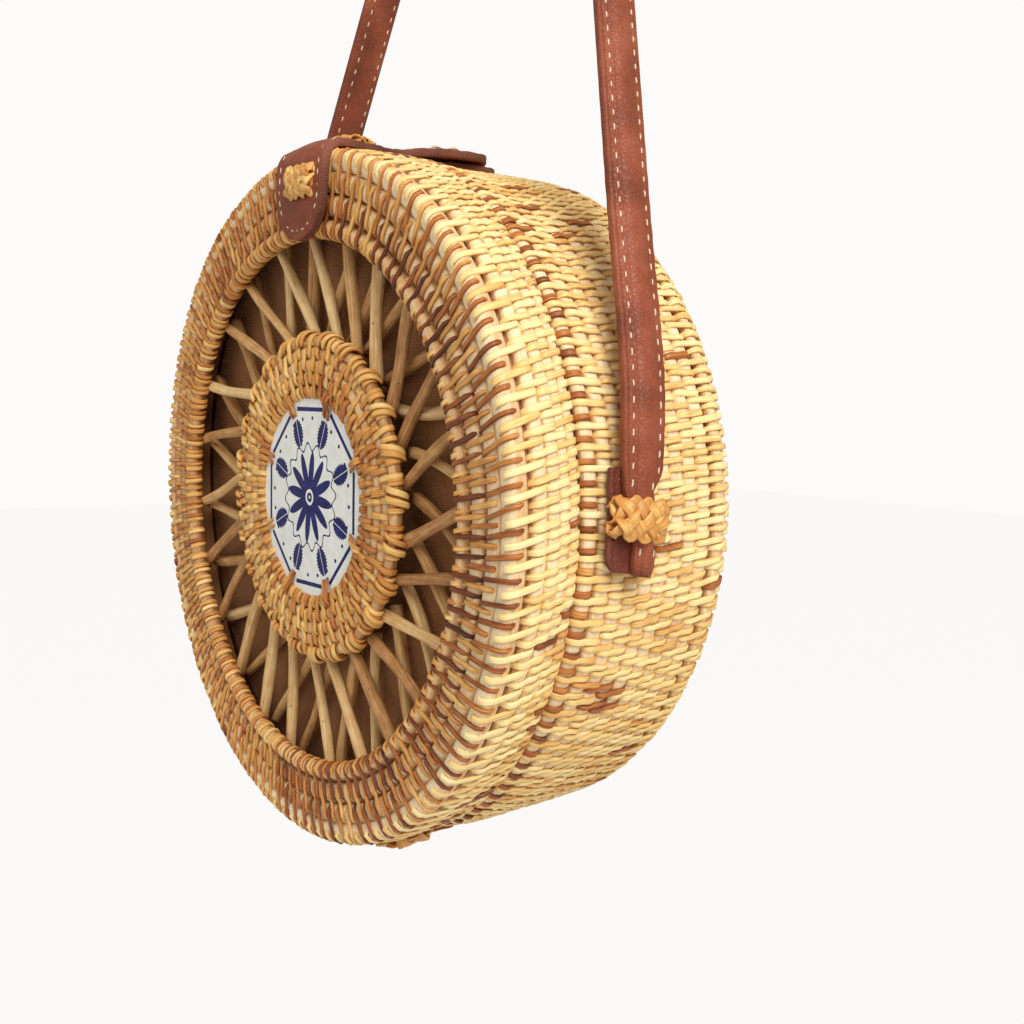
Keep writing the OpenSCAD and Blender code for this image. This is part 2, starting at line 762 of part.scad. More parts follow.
shoulder_strap();
strap_fold_left();
strap_fold_right();
strap_knot_left();
strap_knot_right();
strap_lashing_left();
strap_lashing_right();
back_side_wall();
back_panel();
back_corner();
back_rim_hoop();
back_lining_disc();
back_lining_band();
back_tab();
snap_lower();
hinge_lacing_left();
hinge_lacing_right();
front_side_wall();
front_rim_border();
front_corner_hoop();
front_ring();
opening_hoop();
lattice_front_layer();
lattice_back_layer();
hub_ring();
hub_hoop();
hub_ties();
medallion();
medallion_claws();
front_lining_disc();
front_lining_band();
closure_tab();
tab_knot_front();
tab_knot_top();
hinge_knot_left();
hinge_knot_right();
closure_flap();
snap_upper();
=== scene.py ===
# %% [markdown]
# # A round shoulder bag woven from rattan
# The bag is two shallow drums of rattan rods with thin cane strips woven across
# them, laced together at the bottom and shut by a leather tab at the top. Its
# front has a lattice of sticks round a woven hub with a glazed disc. The solids
# of the part come in as the frame, and each piece made here lies on them.

import math

import bpy
import numpy as np
from mathutils import Matrix


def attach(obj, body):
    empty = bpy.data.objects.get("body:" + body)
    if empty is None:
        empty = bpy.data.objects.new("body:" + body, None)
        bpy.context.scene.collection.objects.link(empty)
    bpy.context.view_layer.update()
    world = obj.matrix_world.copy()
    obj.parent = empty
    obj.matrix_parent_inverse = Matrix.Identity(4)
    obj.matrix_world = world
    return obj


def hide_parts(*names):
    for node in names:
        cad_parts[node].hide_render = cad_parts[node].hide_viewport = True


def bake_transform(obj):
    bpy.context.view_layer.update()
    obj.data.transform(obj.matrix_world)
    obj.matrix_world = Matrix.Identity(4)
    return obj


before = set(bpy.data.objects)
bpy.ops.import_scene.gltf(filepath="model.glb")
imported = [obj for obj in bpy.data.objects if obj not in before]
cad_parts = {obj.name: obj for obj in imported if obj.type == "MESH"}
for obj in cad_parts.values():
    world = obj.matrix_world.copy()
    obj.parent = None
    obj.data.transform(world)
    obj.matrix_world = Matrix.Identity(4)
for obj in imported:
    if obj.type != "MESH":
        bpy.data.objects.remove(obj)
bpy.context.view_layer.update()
MM = 0.001

# %% [markdown]
# ## The camera
# The photograph was taken from the front right, a little above the bag's middle,
# with the bag hanging a few degrees off plumb. A camera can be aimed with a
# Track To constraint, but then its roll is hard to set. So it is placed by three
# unit axes, right, up and back, which are the columns of its rotation matrix.
# They come from an azimuth, an elevation and a roll, and the bag's tilt turns
# them once more about the drum's axis.

# %% Camera
AZIMUTH, ELEVATION, ROLL, BAG_TILT = (math.radians(v) for v in (53.8, 1.0, -1.9, 5.0))
CAMERA_DISTANCE, CAMERA_ASIDE, CAMERA_RISE = 399.7 * MM, 31.2 * MM, -5.6 * MM
CAMERA_AIM_Y = -42.8 * MM
LENS_MM, SENSOR_MM = 45.98, 36


def camera_axes():
    """Right, up and back: back points out along the azimuth and elevation, and
    right and up are turned about it by the roll."""
    ca, sa = math.cos(AZIMUTH), math.sin(AZIMUTH)
    ce, se = math.cos(ELEVATION), math.sin(ELEVATION)
    back = np.array([sa * ce, -ca * ce, se])
    right = np.array([ca, sa, 0.0])
    up = np.cross(back, right)
    c, s = math.cos(ROLL), math.sin(ROLL)
    return right * c + up * s, up * c - right * s, back


def tilt_bag(v):
    """Turns a vector about the drum's axis by the angle at which the bag hangs."""
    c, s = math.cos(BAG_TILT), math.sin(BAG_TILT)
    return np.array([v[0] * c - v[2] * s, v[1], v[0] * s + v[2] * c])


def stand(thing, place, axes):
    """Puts a camera or a lamp at place. Its unit axes, right, up and back, are the
    columns of its rotation."""
    bpy.context.scene.collection.objects.link(thing)
    turn = Matrix(np.stack(axes, 1).tolist()).to_4x4()
    thing.matrix_world = Matrix.Translation(np.asarray(place, float).tolist()) @ turn


right, up, back = camera_axes()
place = tilt_bag(back * CAMERA_DISTANCE + right * CAMERA_ASIDE + up * CAMERA_RISE)
place[1] += CAMERA_AIM_Y
camera = bpy.data.objects.new("camera", bpy.data.cameras.new("camera"))
stand(camera, place, [tilt_bag(v) for v in (right, up, back)])
camera.data.sensor_width = SENSOR_MM
camera.data.lens = LENS_MM
bpy.context.scene.camera = camera
print("camera at mm", (place * 1000).round(1))

# %% [markdown]
# ## Meshes from arrays
# A woven bag has thousands of strips, far too many to model by hand or to copy
# as objects. So every new piece is computed as whole numpy arrays. One helper
# puts points and polygons into a mesh, stores values that materials read, and
# makes sure that the faces look outwards: the signed volume of a closed mesh is
# negative when it is inside out, and then each polygon's corners are reversed.


# %% Mesh helper
def mesh_object(name, points, polygons, body, material, uv=None, values=None):
    """A mesh from points (n, 3) and a list of corner arrays (m, k), riding on body.
    Signed volume: the sum over fans of a . (b x c) / 6."""
    points = np.asarray(points, float).reshape(-1, 3)
    polygons = [np.asarray(p, np.int64) for p in polygons]
    volume = 0.0
    for p in polygons:
        a = points[p[:, 0]]
        for k in range(1, p.shape[1] - 1):
            volume += np.einsum("ij,ij->i", a, np.cross(points[p[:, k]], points[p[:, k + 1]])).sum()
    if volume < 0:
        polygons = [p[:, ::-1] for p in polygons]
    corners = np.concatenate([p.ravel() for p in polygons]).astype(np.int32)
    sizes = np.concatenate([np.full(len(p), p.shape[1]) for p in polygons])
    starts = np.concatenate([[0], np.cumsum(sizes)[:-1]]).astype(np.int32)
    mesh = bpy.data.meshes.new(name)
    mesh.vertices.add(len(points))
    mesh.vertices.foreach_set("co", points.astype(np.float32).ravel())
    mesh.loops.add(len(corners))
    mesh.loops.foreach_set("vertex_index", corners)
    mesh.polygons.add(len(sizes))
    mesh.polygons.foreach_set("loop_start", starts)
    mesh.polygons.foreach_set("use_smooth", np.ones(len(sizes), bool))
    mesh.update(calc_edges=True)
    if uv is not None:
        layer = mesh.uv_layers.new(name="along")
        layer.data.foreach_set("uv", np.asarray(uv, np.float32).reshape(-1, 2)[corners].ravel())
    for key, value in (values or {}).items():
        attribute = mesh.attributes.new(key, "FLOAT", "POINT")
        attribute.data.foreach_set("value", np.asarray(value, np.float32).ravel())
    mesh.materials.append(material)
    made = bpy.data.objects.new(name, mesh)
    bpy.context.scene.collection.objects.link(made)
    if body:
        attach(made, body)
    print(name, "triangles", int((sizes - 2).sum()))
    return made


# %% [markdown]
# ## Tubes, curves and the drum
# Rods, strips and sticks are all tubes: rings of points, one after another along
# a curve. The bag is made by hand, so its drum isn't truly round. Each piece is
# worked out on a round drum, and one function carries all of them onto the real
# one. That is easier than to bend every piece on its own, and no gaps open.


# %% Grid helpers
def grid_polygons(batch, rings, around, close_rings=False):
    """Corners of batch tubes of rings x around points, closed round, with an
    end polygon on each open end."""
    i = np.arange(rings if close_rings else rings - 1)
    j = np.arange(around)
    a = i[:, None] * around + j[None, :]
    b = i[:, None] * around + (j[None, :] + 1) % around
    step = (i[:, None] + 1) % rings * around
    quads = np.stack([a, b, step + (j[None, :] + 1) % around, step + j[None, :]], -1).reshape(-1, 4)
    offset = np.arange(batch)[:, None, None] * rings * around
    made = [(quads[None] + offset).reshape(-1, 4)]
    if not close_rings:
        first = j[::-1][None, None, :] + offset
        last = (rings - 1) * around + j[None, None, :] + offset
        made.append(np.concatenate([first, last]).reshape(-1, around))
    return made


def run_length(points):
    """Length along a line of points: the running sum of its steps."""
    return np.concatenate([[0], np.cumsum(np.linalg.norm(np.diff(points, axis=0), axis=1))])


def unit(vectors):
    """Vectors over their own length."""
    return vectors / np.linalg.norm(vectors, axis=-1, keepdims=True)


def smooth_path(points, count):
    """A Catmull-Rom curve through the points, read at count equal steps of its
    length. Each stretch is the usual cubic of four neighbouring points."""
    p = np.asarray(points, float)
    p = np.vstack([2 * p[:1] - p[1:2], p, 2 * p[-1:] - p[-2:-1]])
    t = np.linspace(0, 1, 16, endpoint=False)[None, :, None]
    a, b, c, d = (q[:, None, :] for q in (p[:-3], p[1:-2], p[2:-1], p[3:]))
    square, cube = 2 * a - 5 * b + 4 * c - d, 3 * b - a - 3 * c + d
    fine = 0.5 * (2 * b + (c - a) * t + square * t**2 + cube * t**3)
    fine = np.vstack([fine.reshape(-1, p.shape[1]), p[-2][None]])
    length = run_length(fine)
    at = np.linspace(0, length[-1], count)
    return np.stack([np.interp(at, length, fine[:, k]) for k in range(p.shape[1])], 1)


# %% The drum's own shape
FLARE_S = [0, 30, 55, 66, 78]
WIDE_SHARES = [0.984, 0.996, 0.997, 1.006, 1.017]
TALL_SHARES = [0.968, 0.981, 0.992, 0.991, 0.988]
SAG_S, SAG = [0, 20, 42, 56], [0.0, 0.3, 1.2, 0.0]
FACE_R = [48, 76, 97, 101]
BULGE, BULGE_ANGLE, BULGE_WIDTH = 1.9 * MM, -0.9, 0.6


def hand_made(s):
    """How wide and how tall the drum is at distance s from the back, as shares of
    its round size: it flares a little towards its front."""
    return np.interp(s / MM, FLARE_S, WIDE_SHARES), np.interp(s / MM, FLARE_S, TALL_SHARES)


def front_stretch(r, s):
    """The front face is a little out of round: its rods spread outwards, left and
    down, by an amount that grows from the hub to the opening. Gives the share of
    widening and the shift to the left, the same two downwards, and how much of
    the bulge at the upper left there is."""
    near = np.clip((s / MM - 58) / 12, 0, 1)

    def grow(*values):
        return np.interp(r / MM, FACE_R, values) * near

    widen, left = grow(0.0, 0.048, 0.02, 0.02), grow(0.0, 4.2, 0.9, 0.9) * MM
    deepen, down = grow(0.0, 0.018, 0.007, 0.007), grow(0.0, 1.7, 0.6, 0.6) * MM
    return widen, left, deepen, down, grow(0.0, 1.0, 1.0, 1.0)


def on_drum(r, s, angle):
    """Radius, distance forward from the back and angle from the top, to x, y, z.
    The bulge at the upper left is exp(-((angle off it) / width)^2)."""
    wide, tall = hand_made(s)
    widen, left, deepen, down, bulge = front_stretch(r, s)
    down = down + np.interp(s / MM, SAG_S, SAG) * MM
    off = np.angle(np.exp(1j * (angle - BULGE_ANGLE)))
    r = r + bulge * BULGE * np.exp(-((off / BULGE_WIDTH) ** 2))
    x = r * (wide + widen) * np.sin(angle) - left
    z = r * (tall + deepen) * np.cos(angle) - down
    return np.stack([x, -s + 0 * x, z], -1)


rng = np.random.default_rng(7)

# %% [markdown]
# ## Shader groups
# Cane, rods and sticks all show fine fibres along their length, so the fibres
# are one node group. A second group turns a strip's tone, from pale straw to
# dark brown, into its colour, with the fibres and blotches mixed in. Groups put
# out only colours, masks and heights. The shaders stay in the materials.


# %% Node helpers
def add(tree, kind, links=None, **settings):
    """A new node with its settings, and inputs joined to sockets or set to values."""
    made = tree.nodes.new(kind)
    for key, value in settings.items():
        setattr(made, key, value)
    for key, value in (links or {}).items():
        if isinstance(value, bpy.types.NodeSocket):
            tree.links.new(value, made.inputs[key])
        else:
            made.inputs[key].default_value = value
    return made


def math_node(tree, operation, a, b, c=None, clamp=False):
    """The result of one sum on a and b, and on c where the sum takes three."""
    links = {0: a, 1: b} if c is None else {0: a, 1: b, 2: c}
    return add(tree, "ShaderNodeMath", links, operation=operation, use_clamp=clamp).outputs[0]


def mix_colour(tree, factor, a, b):
    """From colour a at factor 0 to colour b at 1. A Mix node keeps its two colours
    in inputs 6 and 7, and puts out the mixed one at 2."""
    return add(tree, "ShaderNodeMix", {0: factor, 6: a, 7: b}, data_type="RGBA").outputs[2]


def new_group(name, inputs, outputs):
    """An empty shader group with named float, colour or vector sockets."""
    tree = bpy.data.node_groups.new(name, "ShaderNodeTree")
    for key, kind in inputs:
        tree.interface.new_socket(key, in_out="INPUT", socket_type=kind)
    for key, kind in outputs:
        tree.interface.new_socket(key, in_out="OUTPUT", socket_type=kind)
    return tree, tree.nodes.new("NodeGroupInput"), tree.nodes.new("NodeGroupOutput")


def srgb(colour):
    """An 8-bit display colour as linear light: ((c + 0.055) / 1.055) to the 2.4."""
    c = np.array(colour, float) / 255
    return tuple(np.where(c <= 0.04045, c / 12.92, ((c + 0.055) / 1.055) ** 2.4))


def ramp(tree, factor, stops):
    """A colour ramp through (place, colour) stops."""
    made = add(tree, "ShaderNodeValToRGB", {"Fac": factor})
    elements = made.color_ramp.elements
    while len(elements) < len(stops):
        elements.new(0.5)
    for element, (where, colour) in zip(elements, stops):
        element.position = where
        element.color = (*srgb(colour), 1)
    return made.outputs["Color"]


def new_material(name, **constants):
    """A material with a Principled shader whose plain sockets are set here."""
    material = bpy.data.materials.new(name)
    material.use_nodes = True
    tree = material.node_tree
    shader = tree.nodes["Principled BSDF"]
    for key, value in constants.items():
        shader.inputs[key.replace("_", " ")].default_value = value
    return material, tree, shader


def bump(tree, shader, height, distance, strength):
    """Bends the shading by a height, where 1 stands for distance in metres."""
    made = add(tree, "ShaderNodeBump", {"Height": height, "Distance": distance, "Strength": strength})
    tree.links.new(made.outputs[0], shader.inputs["Normal"])


# %% Fibre and tone groups
def make_fibres():
    """Fibres: noise read far more finely across the piece than along it."""
    tree, into, out = new_group(
        "fibres",
        [("Vector", "NodeSocketVector"), ("Along", "NodeSocketFloat"), ("Across", "NodeSocketFloat")],
        [("Height", "NodeSocketFloat"), ("Blotch", "NodeSocketFloat")],
    )
    split = add(tree, "ShaderNodeSeparateXYZ", {0: into.outputs["Vector"]})
    x = math_node(tree, "MULTIPLY", split.outputs[0], into.outputs["Along"])
    y = math_node(tree, "MULTIPLY", split.outputs[1], into.outputs["Across"])
    z = math_node(tree, "MULTIPLY", split.outputs[2], into.outputs["Along"])
    stretched = add(tree, "ShaderNodeCombineXYZ", {0: x, 1: y, 2: z})
    stretch = {"Vector": stretched.outputs[0], "Scale": 1.0, "Detail": 3.0, "Roughness": 0.6}
    fine = add(tree, "ShaderNodeTexNoise", stretch)
    patches = {"Vector": into.outputs["Vector"], "Scale": 240.0, "Detail": 3.0}
    blotch = add(tree, "ShaderNodeTexNoise", patches)
    tree.links.new(fine.outputs[0], out.inputs["Height"])
    tree.links.new(blotch.outputs[0], out.inputs["Blotch"])
    return tree


def make_tones():
    """Cane tones: straw, honey, orange tan, brown and dark brown, by tone 0 to 1."""
    tree, into, out = new_group(
        "cane tones",
        [("Tone", "NodeSocketFloat"), ("Height", "NodeSocketFloat"), ("Blotch", "NodeSocketFloat")],
        [("Color", "NodeSocketColor")],
    )
    shift = math_node(tree, "MULTIPLY_ADD", into.outputs["Height"], 0.7, -0.35)
    tone = math_node(tree, "ADD", into.outputs["Tone"], shift)
    drift = math_node(tree, "MULTIPLY_ADD", into.outputs["Blotch"], 0.3, -0.15)
    tone = math_node(tree, "ADD", tone, drift, clamp=True)
    colour = ramp(
        tree,
        tone,
        [
            (0.0, (253, 232, 172)),
            (0.2, (244, 206, 130)),
            (0.4, (216, 158, 80)),
            (0.6, (182, 108, 46)),
            (0.8, (130, 64, 26)),
            (1.0, (74, 34, 15)),
        ],
    )
    tree.links.new(colour, out.inputs["Color"])
    return tree


FIBRES = make_fibres()
TONES = make_tones()


def fibre_node(tree, vector, along, across):
    """The fibres in a material, with how fine they are along and across."""
    links = {"Vector": vector, "Along": along, "Across": across}
    return add(tree, "ShaderNodeGroup", links, node_tree=FIBRES)


print("shader groups", FIBRES.name, "and", TONES.name)

# %% [markdown]
# ## Cane and rods
# Split cane keeps its glossy skin, so it gets a coat and a low roughness. Its
# tone is a value stored on each strip: one material can then serve thousands of
# strips, each of its own colour. Rods are the peeled core: pale, matte, with
# fibres that run round the drum. Their pattern is read at the direction from
# the axis, which has no seam, where an unwrapped map would have one.


# %% Cane material
def make_cane(name, coat=0.12):
    """Glossy cane: colour from the strip's tone, fibres along the strip's own UV."""
    material, tree, shader = new_material(
        name, Coat_Weight=coat, Coat_Roughness=0.28, Specular_IOR_Level=0.3
    )
    uv = add(tree, "ShaderNodeUVMap", uv_map="along")
    tone = add(tree, "ShaderNodeAttribute", attribute_name="tone").outputs["Fac"]
    fibres = fibre_node(tree, uv.outputs[0], 120.0, 2000.0)
    height, blotch = fibres.outputs["Height"], fibres.outputs["Blotch"]
    tones = add(tree, "ShaderNodeGroup", {"Tone": tone, "Height": height, "Blotch": blotch}, node_tree=TONES)
    tree.links.new(tones.outputs["Color"], shader.inputs["Base Color"])
    rough = math_node(tree, "MULTIPLY_ADD", height, 0.3, 0.3)
    tree.links.new(rough, shader.inputs["Roughness"])
    bump(tree, shader, height, 0.00012, 0.6)
    return material


CANE = make_cane("split_cane")


def make_rod():
    """Peeled rod: fibres round the drum, read at (x, z) over their length, so they
    run along the rod, with the radius and depth as the way across."""
    material, tree, shader = new_material("peeled_rod", Roughness=0.62, Specular_IOR_Level=0.35)
    place = add(tree, "ShaderNodeTexCoord").outputs["Object"]
    split = add(tree, "ShaderNodeSeparateXYZ", {0: place})
    flat = add(tree, "ShaderNodeCombineXYZ", {0: split.outputs[0], 1: split.outputs[2]})
    radius = add(tree, "ShaderNodeVectorMath", {0: flat.outputs[0]}, operation="LENGTH").outputs["Value"]
    x = math_node(tree, "DIVIDE", split.outputs[0], radius)
    z = math_node(tree, "DIVIDE", split.outputs[2], radius)
    across = math_node(tree, "MULTIPLY_ADD", radius, 1.3, split.outputs[1])
    vector = add(tree, "ShaderNodeCombineXYZ", {0: x, 1: across, 2: z}).outputs[0]
    height = fibre_node(tree, vector, 14.0, 2000.0).outputs["Height"]
    blotch = add(tree, "ShaderNodeTexNoise", {"Vector": place, "Scale": 150.0, "Detail": 2.0})
    tone = add(tree, "ShaderNodeAttribute", attribute_name="tone").outputs["Fac"]
    fibre_tone = math_node(tree, "MULTIPLY_ADD", height, 0.75, tone)
    patch = math_node(tree, "MULTIPLY_ADD", blotch.outputs[0], 0.35, fibre_tone)
    colour = ramp(
        tree,
        math_node(tree, "SUBTRACT", patch, 0.5, clamp=True),
        [
            (0.0, (252, 234, 196)),
            (0.2, (242, 214, 168)),
            (0.45, (220, 178, 126)),
            (0.75, (180, 128, 80)),
            (1.0, (124, 78, 44)),
        ],
    )
    tree.links.new(colour, shader.inputs["Base Color"])
    bump(tree, shader, height, 0.00018, 0.8)
    return material


ROD = make_rod()
print("cane and rod materials", CANE.name, ROD.name)

# %% [markdown]
# ## The rods
# The front half is eight rods side by side: a hoop round the opening, two ring
# rods, the thick corner rod, three side rods and the rim rod at the seam. The
# back half has its rim rod, eight side rods, three round the corner and
# seventeen over the flat back, and the hub in the lattice has five. A curve with
# a bevel could make each rod, but it would be perfectly even. Here each is a
# flat-round profile turned round the drum, which wanders a little, as a bent rod
# does. Each table goes from the opening, the rim or the disc outwards.

# %% Rod tables
# A row is the radius, the distance from the back, half the width and half the
# height in mm, and the way that the rod faces: 0 outwards, 90 degrees forward.
FRONT_RODS = np.array(
    [
        [78.1, 75.9, 2.5, 2.0, 115],
        [84.2, 76.1, 2.9, 1.5, 97],
        [90.4, 76.4, 2.9, 1.5, 94],
        [96.0, 75.5, 2.9, 2.85, 45],
        [97.6, 69.4, 2.35, 1.5, 0],
        [97.6, 64.9, 2.15, 1.5, 0],
        [97.5, 61.4, 1.9, 1.5, 0],
        [97.2, 58.2, 1.75, 1.8, -12],
    ]
)
BACK_SIDE = [[97.0, 52.5, 2.2, 2.0, 8]] + [[97.6, 47.6 - 4.75 * k, 2.35, 1.5, 0] for k in range(8)]
CORNER_R, CORNER_S, CORNER_BEND = 90.0, 10.0, 7.5
BACK_CORNER = [
    [
        CORNER_R + CORNER_BEND * math.cos(math.radians(facing)),
        CORNER_S + CORNER_BEND * math.sin(math.radians(facing)),
        2.1,
        1.5,
        facing,
    ]
    for facing in (-14, -46, -78)
]
BACK_FLAT = [[86.9 - 4.9 * k, 2.5, 2.45, 1.5, -90] for k in range(17)]
BACK_RODS = np.array(BACK_SIDE + BACK_CORNER + BACK_FLAT)
HUB_RODS = np.array(
    [
        [31.2, 75.9, 1.9, 1.4, 97],
        [34.9, 76.3, 1.9, 1.4, 93],
        [38.5, 76.4, 1.9, 1.4, 90],
        [42.0, 76.0, 1.8, 1.4, 86],
        [45.4, 75.6, 1.7, 1.6, 78],
    ]
)
BACK_SIDE_COUNT = len(BACK_SIDE) + len(BACK_CORNER)
CORNER_ROD = 3
print(len(FRONT_RODS), "front rods,", len(BACK_RODS), "back rods,", len(HUB_RODS), "hub rods")

# %% Rods round the drum
SQUARE_SHAPE = 2.6
ROD_WANDER = 0.22


def ring_rods(name, table, body, tones, around=240, left=0.0):
    """Rods turned round the drum. Profile: |x/a|^n + |y/b|^n = 1, where n makes it
    a little squarer than an ellipse. It is carried round at its radius with a
    slow wave of six harmonics. Its tone can grow darker towards the left, as
    painted shade, and it is darker at both sides of its section, painted shade
    between neighbouring rods."""
    section = np.linspace(0, 2 * np.pi, 14, endpoint=False)
    x = np.sign(np.cos(section)) * np.abs(np.cos(section)) ** (2 / SQUARE_SHAPE)
    y = np.sign(np.sin(section)) * np.abs(np.sin(section)) ** (2 / SQUARE_SHAPE)
    angle = np.linspace(0, 2 * np.pi, around, endpoint=False)
    waves = np.arange(2, 8)
    phase = rng.uniform(0, 2 * np.pi, (len(table), 2, len(waves)))
    wave = np.sin(angle[None, None, :, None] * waves + phase[:, :, None, :]) / len(waves)
    wave = wave.sum(-1) * ROD_WANDER
    face = np.radians(table[:, 4])
    normal = np.stack([np.cos(face), np.sin(face)], 1)
    side = np.stack([-np.sin(face), np.cos(face)], 1)
    offset = (
        side[:, None, :] * (x[None, :] * table[:, 2:3])[..., None]
        + normal[:, None, :] * (y[None, :] * table[:, 3:4])[..., None]
    )
    r = table[:, 0][:, None, None] + wave[:, 0][:, :, None] + offset[:, None, :, 0]
    s = table[:, 1][:, None, None] + wave[:, 1][:, :, None] + offset[:, None, :, 1]
    points = on_drum(r * MM, s * MM, np.broadcast_to(angle[None, :, None], r.shape))
    # Painted shade: darker towards the left, and at both sides of each section where the rods meet.
    darker = left * np.clip(-np.sin(angle), 0, 1)
    tone = (np.asarray(tones)[:, None] + darker)[:, :, None] + 0.35 * np.abs(x) ** 4
    polygons = grid_polygons(len(table), around, len(section), close_rings=True)
    return mesh_object(name, points, polygons, body, ROD, values={"tone": tone})


# The corner rod is drawn a little fuller than the strips over it take it to be,
# and its flat sides look outwards and forward.
front_shapes = FRONT_RODS.copy()
front_shapes[CORNER_ROD, 2:] = 3.1, 2.75, 90
# The front rods get painted shade towards the left.
front_rods = ring_rods(
    "front_rods", front_shapes, "front_half", [0.24, 0.14, 0.1, 0.04, 0.06, 0.06, 0.08, 0.16], left=0.3
)
back_side_rods = ring_rods(
    "back_side_rods", BACK_RODS[:BACK_SIDE_COUNT], "back_half", [0.12] + [0.1] * 8 + [0.15] * 3
)
back_face_rods = ring_rods(
    "back_face_rods", BACK_RODS[BACK_SIDE_COUNT:], "back_half", [0.15] * len(BACK_FLAT), around=180
)
hub_rods = ring_rods("hub_rods", HUB_RODS, "front_half", [0.5, 0.4, 0.35, 0.35, 0.5], around=160)

# %% [markdown]
# ## Cane strips in a 2/1 twill
# Thin strips cross the rods. Each goes over two rods and under the third, and
# the next strip does the same one rod further on, so the floats climb like
# stairs. Whole strips could be laid through the weave, but only the floats show.
# So each float is a short strip of its own: it rises from under one rod, arches
# over two and goes down behind them. All the floats over the same pair of rods
# share one path, turned round the drum, and that keeps the mesh small.


# %% Float paths
def rod_frame(table):
    """Centre, direction of travel and outward normal of each rod, in (r, s)."""
    face = np.radians(table[:, 4])
    normal = np.stack([np.cos(face), np.sin(face)], 1)
    travel = np.stack([np.sin(face), -np.cos(face)], 1)
    return table[:, :2], travel, normal


FLOAT_LIFT, FLOAT_SINK, FLOAT_SAG = 0.15, 0.9, 0.62
FLOAT_STEPS, WRAP_STEPS = 12, 5


def float_path(table, k, first_wrap=150, last_wrap=150):
    """The underside of a float over rods k and k + 1, as (r, s) in mm. Where one
    of the two is missing, the strip wraps round the other, the edge rod, by an
    arc of its own radius, as far as the angles first_wrap and last_wrap."""
    centre, travel, normal = rod_frame(table)
    half, high = table[:, 2:3], table[:, 3:4]

    def gap(a, b):
        """The place between two rods where the strip dives."""
        return (centre[a] + centre[b]) / 2 - (normal[a] + normal[b]) / 2 * FLOAT_SINK

    def over(a, share):
        """The place over rod a, at a share of its half width."""
        rise = high[a] * math.sqrt(max(0.0, 1 - abs(share) ** SQUARE_SHAPE)) + FLOAT_LIFT
        return centre[a] + travel[a] * half[a] * share + normal[a] * rise

    def wrap(a, start, stop):
        """An arc round rod a: (half width sin t, half height cos t), both lifted."""
        turn = np.radians(np.linspace(start, stop, WRAP_STEPS))[:, None]
        aside, rise = (half[a] + FLOAT_LIFT) * np.sin(turn), (high[a] + FLOAT_LIFT) * np.cos(turn)
        return list(centre[a] + travel[a] * aside + normal[a] * rise)

    last = len(table) - 1
    points = []
    if k < 0:
        points += wrap(0, -first_wrap, 20) + [gap(0, 1)]
    elif k == last:
        points += [gap(last - 1, last)] + wrap(last, -20, last_wrap)
    else:
        points += wrap(0, -first_wrap, -25) if k == 0 else [gap(k - 1, k)]
        between = (over(k, 1.0) + over(k + 1, -1.0)) / 2 + (normal[k] + normal[k + 1]) * FLOAT_SAG
        points += [over(k, -0.55), over(k, 0.25), between, over(k + 1, -0.25), over(k + 1, 0.55)]
        points += wrap(last, 25, last_wrap) if k + 1 == last else [gap(k + 1, k + 2)]
    return smooth_path(np.array(points), FLOAT_STEPS)


# %% Strips helper
# A strip's section: half width and height as shares, with a domed top.
STRIP = np.array([[-1, 0.12], [-0.92, 0.7], [-0.55, 0.97], [0.55, 0.97]])
STRIP = np.vstack([STRIP, [[0.92, 0.7], [1, 0.12], [0.4, -0.1], [-0.4, -0.1]]])


def strip_points(path, angles, width, thick, slant, pitch, jitter=0.12):
    """Flat-round strips along one (r, s) path at many angles. A point is the
    path plus its section's height along the normal, then turned by the strip's
    angle plus (section's width + slant x length along the path) / radius. Each
    strip's width, thickness, lift, lean and place are a little off at random."""
    count = len(angles)
    tangent = unit(np.gradient(path, axis=0))
    normal = np.stack([-tangent[:, 1], tangent[:, 0]], 1)
    length = run_length(path)
    wide = width / 2 * rng.uniform(0.86, 1.12, count)
    deep = thick * rng.uniform(0.85, 1.15, count)
    lift = rng.uniform(-0.12, 0.18, count)
    lean = slant + rng.normal(0, 0.035, count)
    shift = rng.normal(0, jitter, count) * pitch
    middle = length - length[-1] / 2
    bow = np.sin(np.pi * length / length[-1])
    height = STRIP[None, None, :, 1] * deep[:, None, None] + (lift[:, None] * bow[None, :])[:, :, None]
    r = path[None, :, None, 0] + normal[None, :, None, 0] * height
    s = path[None, :, None, 1] + normal[None, :, None, 1] * height
    pinch = 1 - 0.22 * np.abs(2 * length / length[-1] - 1) ** 4
    aside = STRIP[None, None, :, 0] * (wide[:, None] * pinch[None, :])[:, :, None]
    aside = aside + (lean[:, None] * middle[None, :] + shift[:, None])[:, :, None]
    angle = angles[:, None, None] + aside / r
    points = on_drum(r * MM, s * MM, angle)
    start = rng.uniform(0, 5, count)
    u = (length[None, :, None] * MM + start[:, None, None]) + 0 * r
    v = STRIP[None, None, :, 0] * wide[:, None, None] * MM + 0 * r + start[:, None, None]
    return points, np.stack([u, v], -1)


def merge_strips(name, batches, body, material=CANE):
    """One mesh from batches of (points, uv, tone per strip). A strip is darker at
    its two cut edges, partly the cane's own edge colour and partly painted shade,
    and darker still where it dives under a rod, which is painted shade."""
    points, uvs, tones, polygons, offset = [], [], [], [], 0
    for p, uv, tone in batches:
        count, rings, around = p.shape[:3]
        points.append(p.reshape(-1, 3))
        uvs.append(uv.reshape(-1, 2))
        # Painted shade: darker at the strip's edges, partly the cut cane's own colour, and where it dives
        # under a rod.
        rim = 0.14 * np.abs(STRIP[:, 0]) ** 3
        dive_shade = 0.2 * np.abs(np.linspace(-1, 1, rings)) ** 6
        tones.append((tone[:, None, None] + rim[None, None, :] + dive_shade[None, :, None]).ravel())
        polygons += [q + offset for q in grid_polygons(count, rings, around)]
        offset += count * rings * around
    return mesh_object(
        name,
        np.concatenate(points),
        polygons,
        body,
        material,
        uv=np.concatenate(uvs),
        values={"tone": np.concatenate(tones)},
    )


WALL_R = 97


